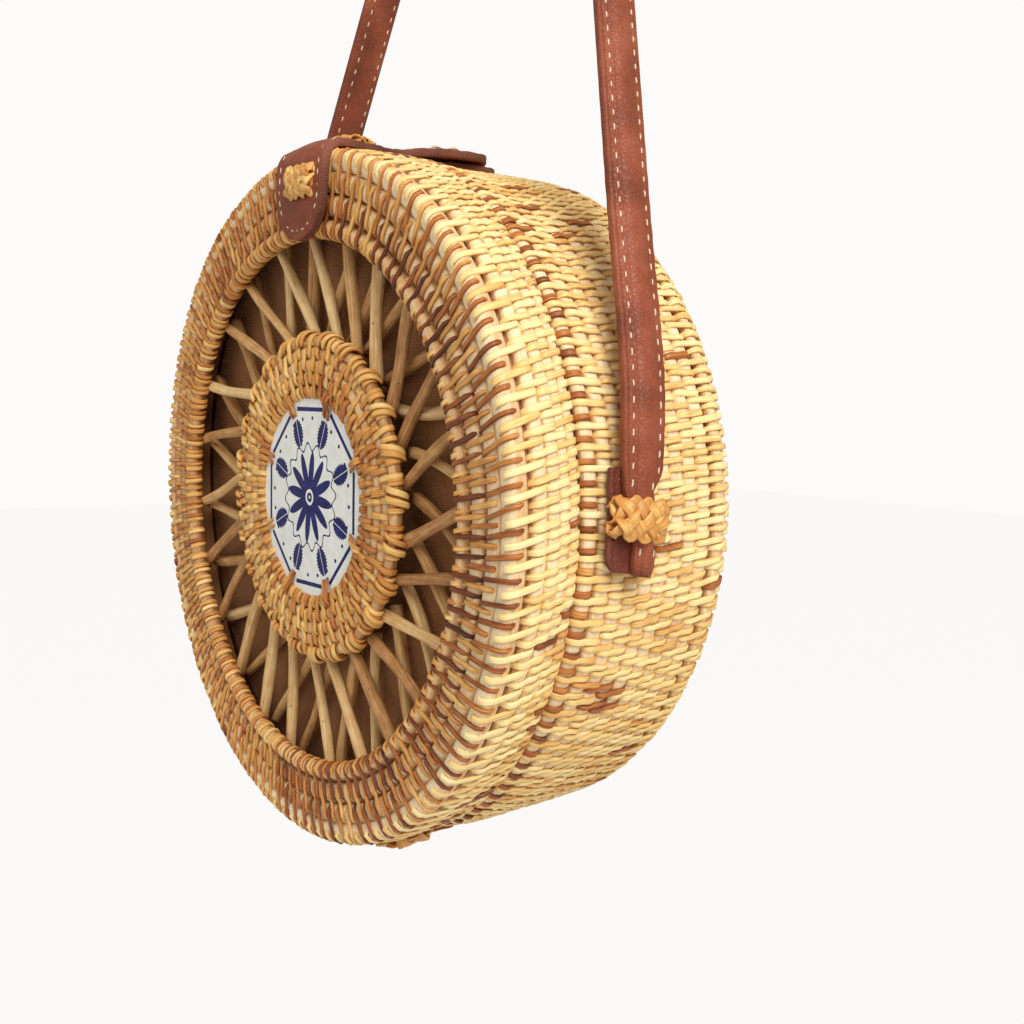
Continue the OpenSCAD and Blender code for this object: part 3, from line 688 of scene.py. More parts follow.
def twill(table, strips, pairs, tone, width, thick, slants, **wraps):
    """Batches of floats: strip j floats over rods k and k + 1 where j = k mod 3.
    Slants holds the lean of each pair's floats, or one lean for all of them."""
    made = []
    for k in pairs:
        path = float_path(table, k, **wraps)
        angles = np.arange(k % 3, strips, 3) * 2 * np.pi / strips
        slant = slants[k] if isinstance(slants, dict) else slants
        p, uv = strip_points(path, angles, width, thick, slant, pitch=2 * np.pi * WALL_R / strips)
        made.append((p, uv, tone(k, angles)))
    return made


# %% [markdown]
# ## Under the weave
# Between two rods one looks into the weave, where the strips pass behind. Those
# hidden stretches of strip needn't be made: a sheet just under the rods' crowns
# takes their place, coloured dark brown as painted shade, and no gap between
# the rods shows light.


# %% Under the weave
# The sheet's dark brown tone is painted shade, standing for the strips in shadow between the rods.
SHEET_AROUND, SHEET_THICK, SHADE_SHEET_TONE = 180, 0.7, 0.85


def under_weave(name, outer, depth, body):
    """A thin closed shell under the rods: the outer (r, s) line and, a little
    deeper, the same line back."""
    outer = np.asarray(outer, float)
    tangent = unit(np.gradient(outer, axis=0))
    profile = np.vstack([outer, (outer - np.stack([-tangent[:, 1], tangent[:, 0]], 1) * depth)[::-1]])
    angle = np.linspace(0, 2 * np.pi, SHEET_AROUND, endpoint=False)
    r = profile[:, 0][:, None] + 0 * angle
    points = on_drum(r * MM, profile[:, 1][:, None] * MM + 0 * r, np.broadcast_to(angle, r.shape))
    polygons = grid_polygons(1, len(profile), SHEET_AROUND, close_rings=True)
    return mesh_object(name, points, polygons, body, ROD, values={"tone": np.full(r.size, SHADE_SHEET_TONE)})


front_line = [[96.6, 58.4], [96.9, 64], [96.9, 70.5], [96.4, 72.8], [95.0, 74.8], [92.8, 75.9]]
front_line += [[84, 75.6], [79.4, 75.4]]
front_under = under_weave("front_under_weave", front_line, SHEET_THICK, "front_half")
back_line = [[80, 2.9], [90, 2.9], [93.5, 3.9], [96.0, 6.6], [96.9, 10.5], [96.9, 30], [96.9, 44]]
back_line += [[96.4, 51.5]]
back_under = under_weave("back_under_weave", back_line, -SHEET_THICK, "back_half")

# %% [markdown]
# ## Colour of the front half's strips
# The side's floats are straw yellow. Those that reach the corner from the ring
# are brown, and the ring's own floats go from brown on the right to orange tan
# on the left and at the bottom, with a yellow one now and then. An image wrapped
# round the drum could colour them, but its colours would run over from strip to
# strip. A rule on the pair of rods and the angle gives every strip one tone.


# %% Front strips
# For each pair of rods, from the opening outwards: the tone on the right, the
# tone on the left, and how far the float leans aside over its length.
FRONT_PAIRS = {
    -1: (0.36, 0.3, -0.1),
    0: (0.77, 0.46, -0.05),
    1: (0.42, 0.42, -0.06),
    2: (0.62, 0.42, -0.16),
    3: (0.06, 0.34, -0.24),
    4: (0.06, 0.3, -0.18),
    5: (0.06, 0.22, -0.16),
    6: (0.12, 0.26, -0.22),
    7: (0.14, 0.26, -0.35),
}
TONE_SPREAD = 0.08


def front_tone(k, angles):
    """Tone by rod pair and by the angle from the top. On the right each pair has
    its own colour, and on the left and at the bottom they are all orange tan."""
    count = len(angles)
    right = np.clip(0.5 + 1.6 * np.sin(angles - 0.1), 0, 1)
    low, high = np.clip(-np.cos(angles), 0, 1), np.clip(np.cos(angles), 0, 1)
    own, shared = FRONT_PAIRS[k][:2]
    base = shared + (own - shared) * right
    # Painted shade: the side's floats grow darker towards the bottom.
    if k > 4:
        base = base + 0.1 * low
    if k == 2:
        base = base - 0.15 * high * right
    tone = base + rng.normal(0, TONE_SPREAD, count)
    odd = rng.random(count)
    if k <= 2:
        tone = np.where(odd < 0.12, 0.36 + rng.normal(0, 0.05, count), tone)
    else:
        tone = np.where(odd < 0.03 + 0.2 * low * (k > 4), 0.7, tone)
    return np.clip(tone, 0.02, 0.98)


front_slants = {k: slant for k, (own, shared, slant) in FRONT_PAIRS.items()}
FRONT_STRIPS = 330
STRIP_THICK = 0.62
front_ring_strips = merge_strips(
    "front_ring_strips",
    twill(FRONT_RODS, FRONT_STRIPS, (-1, 0, 1, 2), front_tone, 1.4, STRIP_THICK, front_slants),
    "front_half",
)
front_side_strips = merge_strips(
    "front_side_strips",
    twill(FRONT_RODS, FRONT_STRIPS, (3, 4, 5, 6, 7), front_tone, 1.95, STRIP_THICK, front_slants),
    "front_half",
)

# %% [markdown]
# ## The back half's strips
# The back half is woven a little more finely. At its rim, red-brown bands
# wrap the hoop between the yellow floats. The functions for the front weave this
# half too, from its own table of rods. Towards the flat back the same strips
# could run on to the middle, but they would crowd there, so every group of rods
# nearer to the middle has fewer of them.


# %% Back strips
BROWN_TONE = 0.6


def back_tone(k, angles):
    """Straw with some honey, brown on the rim's own wraps and here and there, and
    darker towards the bottom and the top as painted shade.
    """
    count = len(angles)
    base = BROWN_TONE if k == -1 else 0.1
    low = np.clip(-np.cos(angles), 0, 1)
    high = np.clip(np.cos(angles), 0, 1)
    # Painted shade: the tone grows darker towards the bottom and a little towards the top.
    tone = base + 0.1 * low + 0.05 * high + rng.normal(0, TONE_SPREAD, count)
    if k >= 0:
        brown = rng.random(count) < 0.015 + 0.06 * low + 0.08 * high
        tone = np.where(brown, BROWN_TONE, tone)
    return np.clip(tone, 0.02, 0.98)


BACK_STRIPS, BACK_STRIP_W = 342, 1.85
side_floats = twill(
    BACK_RODS[:BACK_SIDE_COUNT],
    BACK_STRIPS,
    range(-1, 5),
    back_tone,
    BACK_STRIP_W,
    STRIP_THICK,
    -0.06,
    first_wrap=140,
)
back_side_strips = merge_strips("back_side_strips", side_floats, "back_half")
corner_floats = twill(BACK_RODS, BACK_STRIPS, range(5, 11), back_tone, BACK_STRIP_W, STRIP_THICK, -0.08)
back_corner_strips = merge_strips("back_corner_strips", corner_floats, "back_half")

# Over the flat back, inwards: the first and the last pair of rods of each group,
# its number of strips and their width.
FACE_GROUPS = [(11, 14, 270, 1.55), (15, 18, 198, 1.55), (19, 22, 129, 1.55), (23, 25, 78, 1.55)]
FACE_GROUPS += [(26, 27, 39, 1.4)]
face_floats = []
for first, last, strips, wide in FACE_GROUPS:
    face_floats += twill(BACK_RODS, strips, range(first, last + 1), back_tone, wide, 0.75, -0.05)
back_face = merge_strips("back_face_strips", face_floats, "back_half")


def make_back_centre():
    """The small disc of cane that the rods start round: a lens, where the radius
    is R sin t and the height H cos t."""
    t = np.linspace(0.02, np.pi - 0.02, 12)
    angle = np.linspace(0, 2 * np.pi, 48, endpoint=False)
    r = (6.3 * np.sin(t))[:, None] + 0 * angle
    s = (2.6 + 1.8 * np.cos(t))[:, None] + 0 * angle
    points = on_drum(r * MM, s * MM, np.broadcast_to(angle, r.shape))
    uv = np.stack([angle * 0.006 + 0 * r, r * MM], -1)
    return mesh_object(
        "back_centre",
        points,
        grid_polygons(1, len(t), len(angle)),
        "back_half",
        CANE,
        uv=uv,
        values={"tone": np.full(r.size, 0.35)},
    )


make_back_centre()

# %% [markdown]
# ## The hub
# The hub is a small round mat: five rods with orange-tan strips that run from
# the glazed disc outwards. It is woven as the drum is, so the same function
# makes it. The innermost strips turn down over the edge, and lie close together
# there, because the circle is short.

# %% Hub strips
HUB_TONES = {-1: 0.42, 0: 0.4, 1: 0.36, 2: 0.34, 3: 0.32, 4: 0.34}


def hub_tone(k, angles):
    """Orange tan, a little darker inwards and on the right."""
    tone = HUB_TONES[k] + 0.06 * np.sin(angles) + rng.normal(0, 0.07, len(angles))
    return np.clip(tone, 0.05, 0.95)


HUB_STRIPS = 135
hub_strips = merge_strips(
    "hub_strips",
    twill(HUB_RODS, HUB_STRIPS, range(-1, 5), hub_tone, 1.85, 0.65, -0.06, first_wrap=120, last_wrap=130),
    "front_half",
)
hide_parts("front_side_wall", "front_corner_hoop", "opening_hoop", "front_rim_border")
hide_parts("front_ring")
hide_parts("back_side_wall", "back_corner", "back_rim_hoop")
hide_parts("back_panel")
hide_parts("hub_ring", "hub_hoop")

# %% [markdown]
# ## The lattice
# Forty-eight sticks join the opening to the hub. Those of the front layer lean
# one step round the hub, those of the back layer one step the other way. Plain
# cylinders would look turned on a lathe. Real sticks bend a little and change in
# thickness, so each is a tube along a curve with its own bow, and its section is
# a little lumpy. They are unpeeled core: tan to brown, with dark flecks.


# %% Stick material
def make_stick():
    """Matte stick: tan to brown by its own tone, dark flecks along the length."""
    material, tree, shader = new_material("lattice_stick", Roughness=0.6, Specular_IOR_Level=0.4)
    uv = add(tree, "ShaderNodeUVMap", uv_map="along")
    tone = add(tree, "ShaderNodeAttribute", attribute_name="tone").outputs["Fac"]
    fibres = fibre_node(tree, uv.outputs[0], 90.0, 2200.0)
    mixed = math_node(tree, "MULTIPLY_ADD", fibres.outputs["Blotch"], 0.45, tone)
    both = math_node(tree, "MULTIPLY_ADD", fibres.outputs["Height"], 1.1, mixed)
    colour = ramp(
        tree,
        math_node(tree, "SUBTRACT", both, 0.76, clamp=True),
        [(0.0, (236, 204, 146)), (0.3, (212, 166, 106)), (0.6, (172, 120, 70)), (1.0, (92, 60, 34))],
    )
    flecks = add(tree, "ShaderNodeTexVoronoi", {"Vector": uv.outputs[0], "Scale": 330.0}, feature="F1")
    spot = math_node(tree, "LESS_THAN", flecks.outputs["Distance"], 0.07)
    keep = math_node(tree, "GREATER_THAN", fibres.outputs["Blotch"], 0.5)
    colour = mix_colour(tree, math_node(tree, "MULTIPLY", spot, keep), colour, (*srgb((70, 48, 34)), 1))
    tree.links.new(colour, shader.inputs["Base Color"])
    bump(tree, shader, fibres.outputs["Height"], 0.00025, 0.9)
    return material


STICK = make_stick()
print("stick material", STICK.name)

# %% Lattice sticks
LATTICE_COUNT, LATTICE_START = 24, math.radians(-4.7)
LATTICE_STEP = 2 * math.pi / LATTICE_COUNT
STICK_OUTER_R, STICK_INNER_R, STICK_S, OPENING_S = 81.2, 44.6, 72.4, 74
STICK_RINGS, STICK_AROUND, STICK_R = 20, 12, 1.6
STICK_TONES = [0.06, 0.2, 0.36, 0.5]


def lattice_layer(name, lean, depth, node):
    """Sticks from the opening to the hub. Path: the straight line between its two
    ends plus a bow b sin(pi t) in the face's plane and a smaller one in depth.
    Radius: wavy along t, and round it the sum of a three and a four lobed wave."""
    each = (LATTICE_COUNT, 1)
    t = np.linspace(0, 1, STICK_RINGS)[None, :]
    a = LATTICE_START + np.arange(LATTICE_COUNT)[:, None] * LATTICE_STEP
    b = a + lean * LATTICE_STEP + rng.normal(0, 0.02, each)
    a = a + rng.normal(0, 0.012, each)
    inner = STICK_INNER_R + rng.uniform(-0.9, 0.5, each)
    end = on_drum(STICK_OUTER_R * MM, OPENING_S * MM, a) / MM
    x = end[..., 0] * (1 - t) + inner * np.sin(b) * t
    z = end[..., 2] * (1 - t) + inner * np.cos(b) * t
    dx, dz = inner * np.sin(b) - end[..., 0], inner * np.cos(b) - end[..., 2]
    long = np.hypot(dx, dz)
    bow = rng.normal(0, 0.8, each) * np.sin(np.pi * t)
    bow = bow + rng.normal(0, 0.4, each) * np.sin(2 * np.pi * t)
    side_x, side_z = -dz / long, dx / long
    x, z = x + side_x * bow, z + side_z * bow
    s = STICK_S - depth + rng.normal(0, 0.2, each) * np.sin(np.pi * t)
    radius = rng.uniform(1.45, 1.8, each) * (1 + 0.07 * np.sin(9 * t + rng.uniform(0, 6, each)))
    turn = np.linspace(0, 2 * np.pi, STICK_AROUND, endpoint=False)[None, :]
    lobes = 1 + 0.09 * np.sin(3 * turn + rng.uniform(0, 6, each))
    lobes = lobes + 0.08 * np.sin(4 * turn + rng.uniform(0, 6, each))
    around = radius[:, :, None] * lobes[:, None, :]
    across, out = np.cos(turn)[None] * around, np.sin(turn)[None] * around
    points = np.stack(
        [
            x[:, :, None] + side_x[:, :, None] * across,
            -(s[:, :, None] + out),
            z[:, :, None] + side_z[:, :, None] * across,
        ],
        -1,
    )
    start = rng.uniform(0, 5, (LATTICE_COUNT, 1, 1))
    u = (long * t)[:, :, None] * MM + start + 0 * across
    v = turn[None] * STICK_R * MM + start + 0 * across
    tone = rng.choice(STICK_TONES, LATTICE_COUNT) + 0.06 * (lean < 0)
    tone = np.repeat(tone + rng.normal(0, 0.04, LATTICE_COUNT), STICK_RINGS * STICK_AROUND)
    made = mesh_object(
        name,
        points * MM,
        grid_polygons(LATTICE_COUNT, STICK_RINGS, STICK_AROUND),
        "front_half",
        STICK,
        uv=np.stack([u, v], -1),
        values={"tone": tone},
    )
    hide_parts(node)


lattice_layer("lattice_front", 1, 0.0, "lattice_front_layer")
lattice_layer("lattice_back", -1, 3.6, "lattice_back_layer")

# %% [markdown]
# ## Ties
# Where two sticks meet the hub, a strip of cane goes twice round them and the
# hub's outer rod. Only the outer side of each turn can be seen, so it is a short
# strip bent in an arc across the rod, made by the function for the floats.

# %% Hub ties
TIE_R, TIE_S, TIE_BEND, TIE_SHIFT = 45.6, 75.4, 2.5, math.radians(1.0)


def hub_ties():
    """Pairs of slanting wraps round the hub's last rod and the sticks' ends, each an
    arc (R + b sin t, S + b cos t)."""
    batches = []
    for aside, slant in ((-1.15, 0.35), (1.15, 0.3)):
        turn = np.radians(np.linspace(-35, 150, 12))
        path = np.stack([TIE_R + TIE_BEND * np.sin(turn), TIE_S + TIE_BEND * np.cos(turn)], 1)
        angles = LATTICE_START + np.arange(LATTICE_COUNT) * LATTICE_STEP + aside / 50 + TIE_SHIFT
        points, uv = strip_points(path, angles, 1.9, 0.85, slant, jitter=0.16, pitch=2.0)
        batches.append((points, uv, np.clip(rng.normal(0.3, 0.07, len(angles)), 0.1, 0.6)))
    made = merge_strips("hub_tie_turns", batches, "front_half")
    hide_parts("hub_ties")


hub_ties()

# %% [markdown]
# ## The lining
# A brown ribbed cotton closes the lattice from behind and lines both halves.
# The cloth is sewn in stretched, so it is nearly flat, and a cloth simulation
# would find nothing to do: it is a thin closed sheet turned about the drum's
# axis. Its fine ribs are drawn by the material. On the discs they are level, and
# on the walls they run round the drum, so they follow one another along Y there.


# %% Lining material
def make_lining(name, way):
    """Ribbed cloth: fine ribs with a weft across them, worn in patches. The ribs
    follow one another along the axis way."""
    material, tree, shader = new_material(
        name, Roughness=0.88, Specular_IOR_Level=0.15, Sheen_Weight=0.06, Sheen_Roughness=0.5
    )
    place = add(tree, "ShaderNodeTexCoord").outputs["Object"]
    rib = {"Vector": place, "Scale": 620.0, "Distortion": 1.2, "Detail": 2.0, "Detail Scale": 0.8}
    ribs = add(tree, "ShaderNodeTexWave", rib, wave_type="BANDS", bands_direction=way)
    thread = {"Vector": place, "Scale": 900.0, "Distortion": 2.0, "Detail": 2.0}
    weft = add(tree, "ShaderNodeTexWave", thread, wave_type="BANDS", bands_direction="X")
    patch = add(tree, "ShaderNodeTexNoise", {"Vector": place, "Scale": 30.0, "Detail": 4.0})
    weave = math_node(tree, "MULTIPLY_ADD", weft.outputs["Fac"], 0.3, ribs.outputs["Fac"])
    shade = math_node(tree, "MULTIPLY_ADD", weave, 0.4, patch.outputs[0])
    colour = ramp(tree, shade, [(0.3, (122, 76, 40)), (0.7, (148, 98, 58)), (1.0, (172, 120, 76))])
    tree.links.new(colour, shader.inputs["Base Color"])
    bump(tree, shader, weave, 0.0002, 0.8)
    return material


LINING = make_lining("ribbed_lining", "Z")
WALL_LINING = make_lining("ribbed_wall_lining", "Y")
print("lining materials", LINING.name, WALL_LINING.name)

# %% Lining pieces
HAIR_R, RIPPLE_R, CLOTH_RINGS = 0.05, 90, 24


def turned(name, profile, body, material, node, around=144, ripple=0.0):
    """A closed (r, s) profile turned round the drum's axis, in mm. Points at
    radius 0 are kept at a hair's width and closed by end polygons. The ripple
    is five waves round, ripple x sin(5 angle) x (r / R)^2."""
    profile = np.asarray(profile, float)
    angle = np.linspace(0, 2 * np.pi, around, endpoint=False)
    r = np.maximum(profile[:, 0], HAIR_R)[:, None] + 0 * angle
    s = profile[:, 1][:, None] + ripple * np.sin(5 * angle + 1) * (profile[:, 0][:, None] / RIPPLE_R) ** 2
    points = on_drum(r * MM, s * MM, np.broadcast_to(angle, r.shape))
    is_band = profile[0, 0] > HAIR_R
    polygons = grid_polygons(1, len(profile), around, close_rings=is_band)
    made = mesh_object(name, points, polygons, body, material)
    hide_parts(node)
    return made


def cloth_profile(radius, low, high):
    """From the axis out along the face at high, and back at low."""
    r = np.linspace(0, radius, CLOTH_RINGS)
    return np.vstack([np.stack([r, 0 * r + high], 1), np.stack([r[::-1], 0 * r + low], 1)])


front_cloth = turned(
    "front_lining_cloth",
    cloth_profile(93.8, 65.0, 65.8),
    "front_half",
    LINING,
    "front_lining_disc",
    ripple=0.25,
)
back_cloth = turned(
    "back_lining_cloth",
    cloth_profile(90.0, 6.0, 6.8),
    "back_half",
    LINING,
    "back_lining_disc",
    ripple=0.15,
)
# Round the back corner and forward along the wall, then back along the inside.
back_wall = [[89.4, 5.9], [91.8, 6.5], [93.2, 8.0], [93.8, 10.5], [93.8, 55.2]]
back_wall += [[93, 55.2], [93, 10.7], [92.5, 8.6], [91.4, 7.3], [89.4, 6.7]]
turned("back_lining_wall", back_wall, "back_half", WALL_LINING, "back_lining_band")
# The front wall's cloth goes on behind the ring, up to the corner rod.
front_wall = [[93, 55.9], [93.8, 55.9], [93.8, 63.6], [95.0, 65.2], [95.8, 67.4], [95.8, 72.6]]
front_wall += [[95.2, 72.6], [95.2, 67.6], [94.5, 65.8], [93, 63.9]]
turned("front_lining_wall", front_wall, "front_half", WALL_LINING, "front_lining_band")

# %% [markdown]
# ## The glazed disc
# A white glazed disc sits in the hub, with cobalt painting under the glaze.
# The painting here is a plain rosette inside an eight-sided line. It could be an
# image, but nodes draw it sharply at any size: each shape is a test on the
# distance and angle about the disc's middle.

# %% Glaze material
# Sizes of the drawing in mm, as distances from the middle unless named so.
LINE_AT, LINE_HALF, LINE_REACH = 25.4, 0.62, 8.6
PETAL_COUNT, PETAL_IN, PETAL_OUT, PETAL_FAT, PETAL_START = 12, 1.9, 13.4, 0.07, 2.4
HEART_AT, HEART_HALF = 1.0, 0.5
LEAF_IN, LEAF_OUT, LEAF_FAT, LEAF_TEETH, LEAF_VEIN = 15.4, 23.8, 0.5, 6.5, 0.12
SCROLL_AT, SCROLL_SWING, SCROLL_WAVES, SCROLL_HALF = 14.6, 1.1, 16.0, 0.3
DOT_COUNT, DOT_AT, DOT_R_SQUARED = 24, 22.9, 0.35


def make_glaze():
    """White glaze with a blue rosette. Every shape is a test on the face's polar
    coordinates, after the angle is folded into one of some equal sectors. The
    line is where r cos(angle) is near the octagon's size. Petals and leaves are
    where |r sin(angle)| is under sqrt(fat x (outer - r) x (r - inner))."""
    material, tree, shader = new_material(
        "glazed_disc", Roughness=0.2, Specular_IOR_Level=0.3, Coat_Weight=0.08, Coat_Roughness=0.05
    )
    place = add(tree, "ShaderNodeTexCoord").outputs["Object"]
    wobble = add(tree, "ShaderNodeTexNoise", {"Vector": place, "Scale": 260.0, "Detail": 2.0})
    split = add(tree, "ShaderNodeSeparateXYZ", {0: place})
    x = math_node(tree, "MULTIPLY", split.outputs[0], 1000.0)
    z = math_node(tree, "MULTIPLY", split.outputs[2], 1000.0)
    flat = add(tree, "ShaderNodeCombineXYZ", {0: x, 1: z}).outputs[0]
    radius = add(tree, "ShaderNodeVectorMath", {0: flat}, operation="LENGTH").outputs["Value"]

    def calc(operation, a, b=0.0, c=None):
        """One sum in this material."""
        return math_node(tree, operation, a, b, c)

    def near(value, middle, half):
        """1 where the value lies within half of the middle."""
        return calc("LESS_THAN", calc("ABSOLUTE", calc("SUBTRACT", value, middle)), half)

    def sector(distance, count, turn):
        """Distance along and across the middle line of the nearest sector."""
        step = 2 * math.pi / count
        shifted = calc("ADD", angle, turn + 4 * math.pi + step / 2)
        off = calc("SUBTRACT", calc("MODULO", shifted, step), step / 2)
        return calc("MULTIPLY", distance, calc("COSINE", off)), calc("MULTIPLY", distance, calc("SINE", off))

    def leaf_half(along, inner, outer, fat):
        """Half the width of a leaf that goes from inner to outer."""
        width = calc("MULTIPLY", calc("SUBTRACT", outer, along), calc("SUBTRACT", along, inner))
        return calc("SQRT", calc("MAXIMUM", calc("MULTIPLY", width, fat), 0.0))

    angle = calc("ARCTAN2", z, x)
    drawn = calc("ADD", radius, calc("MULTIPLY_ADD", wobble.outputs[0], 0.7, -0.35))

    side, across = sector(radius, 8, 0.0)
    line = calc("MULTIPLY", near(side, LINE_AT, LINE_HALF), near(across, 0.0, LINE_REACH))

    petal_across = calc("ABSOLUTE", sector(drawn, PETAL_COUNT, 0.13)[1])
    petals = calc("LESS_THAN", petal_across, leaf_half(drawn, PETAL_IN, PETAL_OUT, PETAL_FAT))
    petals = calc("MULTIPLY", petals, calc("GREATER_THAN", drawn, PETAL_START))
    heart = near(drawn, HEART_AT, HEART_HALF)

    leaf_along, leaf_across = sector(radius, 8, math.pi / 8)
    leaf_across = calc("ABSOLUTE", leaf_across)
    leaf_width = leaf_half(leaf_along, LEAF_IN, LEAF_OUT, LEAF_FAT)
    tooth = calc("MULTIPLY", calc("SINE", calc("MULTIPLY", leaf_along, LEAF_TEETH)), 0.28)
    toothed = calc("MULTIPLY", tooth, calc("GREATER_THAN", leaf_width, 0.2))
    leaf_width = calc("SUBTRACT", calc("ADD", leaf_width, toothed), LEAF_VEIN)
    leaves = calc("LESS_THAN", leaf_across, leaf_width)
    leaves = calc("MULTIPLY", leaves, calc("GREATER_THAN", leaf_across, LEAF_VEIN))

    swing = calc("SINE", calc("MULTIPLY", angle, SCROLL_WAVES))
    scroll = near(radius, calc("MULTIPLY_ADD", swing, SCROLL_SWING, SCROLL_AT), SCROLL_HALF)

    dot_across = sector(radius, DOT_COUNT, 0.05)[1]
    dot_along = calc("SUBTRACT", radius, DOT_AT)
    dot = calc("ADD", calc("MULTIPLY", dot_across, dot_across), calc("MULTIPLY", dot_along, dot_along))
    dot = calc("LESS_THAN", dot, DOT_R_SQUARED)

    blue = petals
    for shape in (line, heart, leaves, scroll, dot):
        blue = calc("MAXIMUM", blue, shape)
    wash = add(tree, "ShaderNodeTexNoise", {"Vector": place, "Scale": 420.0, "Detail": 3.0})
    cobalt = ramp(tree, wash.outputs[0], [(0.25, (6, 10, 72)), (0.6, (14, 22, 104)), (0.85, (46, 64, 146))])
    body = ramp(tree, wobble.outputs[0], [(0.3, (230, 233, 226)), (0.7, (244, 246, 240))])
    tree.links.new(mix_colour(tree, blue, body, cobalt), shader.inputs["Base Color"])
    bump(tree, shader, wobble.outputs[0], 0.0001, 0.3)
    return material


GLAZE = make_glaze()
print("glaze material", GLAZE.name)

# %% Disc piece
DISC_R, DISC_FACE_S, DISC_REAR_S, DISC_CROWN = 29.6, 77.0, 73.0, 0.35
EDGE_R, EDGE_S, EDGE_ASIDE, EDGE_HIGH = 30.3, 74.8, 1.0, 1.75


def disc_profile():
    """A disc with a face that falls by crown x (r / R)^2, and an edge that is half
    an ellipse."""
    r = np.linspace(0, DISC_R, 20)
    face = np.stack([r, DISC_FACE_S - DISC_CROWN * (r / DISC_R) ** 2], 1)
    turn = np.radians(np.linspace(90, -90, 9))
    edge = np.stack([EDGE_R + EDGE_ASIDE * np.cos(turn), EDGE_S + EDGE_HIGH * np.sin(turn)], 1)
    rear = np.stack([r[::-1], DISC_REAR_S + 0 * r], 1)
    return np.vstack([face, edge, rear])


turned("glazed_disc", disc_profile(), "front_half", GLAZE, "medallion", around=192)

# %% [markdown]
# ## The claws
# Eight pairs of narrow brown strips rise from the hub and clasp the disc's edge,
# as a ring's claws hold a stone. They are strips again, along a path that comes
# up from between the rods, goes over the edge and ends on the glaze.

# %% Claws that clasp the disc
CLAW_COUNT, CLAW_GRIP_R = 8, 29
CLAW_PATH = [[33.0, 76.6], [32.0, 78.0], [30.6, 78.5], [29.2, 77.9], [27.8, 77.3], [26.2, 77.15]]
CLAW_PATH += [[25.2, 76.6]]


def claws():
    """Pairs of strips from the hub's first rod onto the disc."""
    path = smooth_path(CLAW_PATH, 12)
    batches = []
    for aside, slant in ((-0.75, 0.05), (0.75, -0.04)):
        angles = (np.arange(CLAW_COUNT) + 0.5) * 2 * np.pi / CLAW_COUNT + aside / CLAW_GRIP_R
        points, uv = strip_points(path[::-1], angles, 1.25, 0.6, slant, jitter=0.1, pitch=1.5)
        batches.append((points, uv, np.clip(rng.normal(0.46, 0.08, CLAW_COUNT), 0.1, 0.9)))
    made = merge_strips("disc_claws", batches, "front_half")
    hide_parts("medallion_claws")


claws()

# %% [markdown]
# ## Leather
# The strap, tab and flap are thick red-brown leather, waxed and a little
# wrinkled, with darker fibrous edges and cream stitching. Noise alone gives a
# stony look. Real grain is a net of creases, so it is the edges between the
# cells of a warped Voronoi pattern, and pores are fine noise on top.


# %% Leather material
GRAIN_WARP = 4 * MM


def leather_grain():
    """Grain: creases between stretched cells plus fine pores."""
    tree, into, out = new_group(
        "leather grain",
        [("Vector", "NodeSocketVector"), ("Scale", "NodeSocketFloat")],
        [("Height", "NodeSocketFloat"), ("Patch", "NodeSocketFloat")],
    )
    place = into.outputs["Vector"]
    warp = add(tree, "ShaderNodeTexNoise", {"Vector": place, "Scale": 120.0, "Detail": 2.0})
    reach = {0: warp.outputs["Color"], 1: (GRAIN_WARP, GRAIN_WARP, GRAIN_WARP)}
    moved = add(tree, "ShaderNodeVectorMath", reach, operation="MULTIPLY")
    warped = add(tree, "ShaderNodeVectorMath", {0: place, 1: moved.outputs[0]}, operation="ADD")
    net = {"Vector": warped.outputs[0], "Scale": into.outputs["Scale"]}
    cells = add(tree, "ShaderNodeTexVoronoi", net, feature="DISTANCE_TO_EDGE")
    crease = add(tree, "ShaderNodeMapRange", {"Value": cells.outputs["Distance"], "From Max": 0.16})
    pores = add(tree, "ShaderNodeTexNoise", {"Vector": place, "Scale": 2600.0, "Detail": 2.0})
    height = math_node(tree, "MULTIPLY_ADD", pores.outputs[0], 0.3, crease.outputs[0])
    patch = add(tree, "ShaderNodeTexNoise", {"Vector": place, "Scale": 70.0, "Detail": 4.0})
    tree.links.new(height, out.inputs["Height"])
    tree.links.new(patch.outputs[0], out.inputs["Patch"])
    return tree


GRAIN = leather_grain()


def make_leather(name, dark, middle, pale):
    """Leather: patches of three shades, and raw fibres where the value edge is high."""
    material, tree, shader = new_material(
        name, Coat_Weight=0.05, Coat_Roughness=0.35, Specular_IOR_Level=0.28
    )
    place = add(tree, "ShaderNodeTexCoord").outputs["Object"]
    grain = add(tree, "ShaderNodeGroup", {"Vector": place, "Scale": 820.0}, node_tree=GRAIN)
    edge = add(tree, "ShaderNodeAttribute", attribute_name="edge").outputs["Fac"]
    body = ramp(tree, grain.outputs["Patch"], [(0.3, dark), (0.55, middle), (0.8, pale)])
    rim = ramp(tree, grain.outputs["Patch"], [(0.3, (84, 42, 32)), (0.7, (140, 88, 68))])
    tree.links.new(mix_colour(tree, edge, body, rim), shader.inputs["Base Color"])
    rough = math_node(tree, "MULTIPLY_ADD", edge, 0.35, 0.42)
    tree.links.new(rough, shader.inputs["Roughness"])
    bump(tree, shader, grain.outputs["Height"], 0.0002, 0.6)
    return material


LEATHER = make_leather("strap_leather", (118, 57, 34), (146, 73, 46), (172, 99, 70))
DARK_LEATHER = make_leather("underlay_leather", (92, 40, 30), (116, 54, 40), (138, 72, 54))


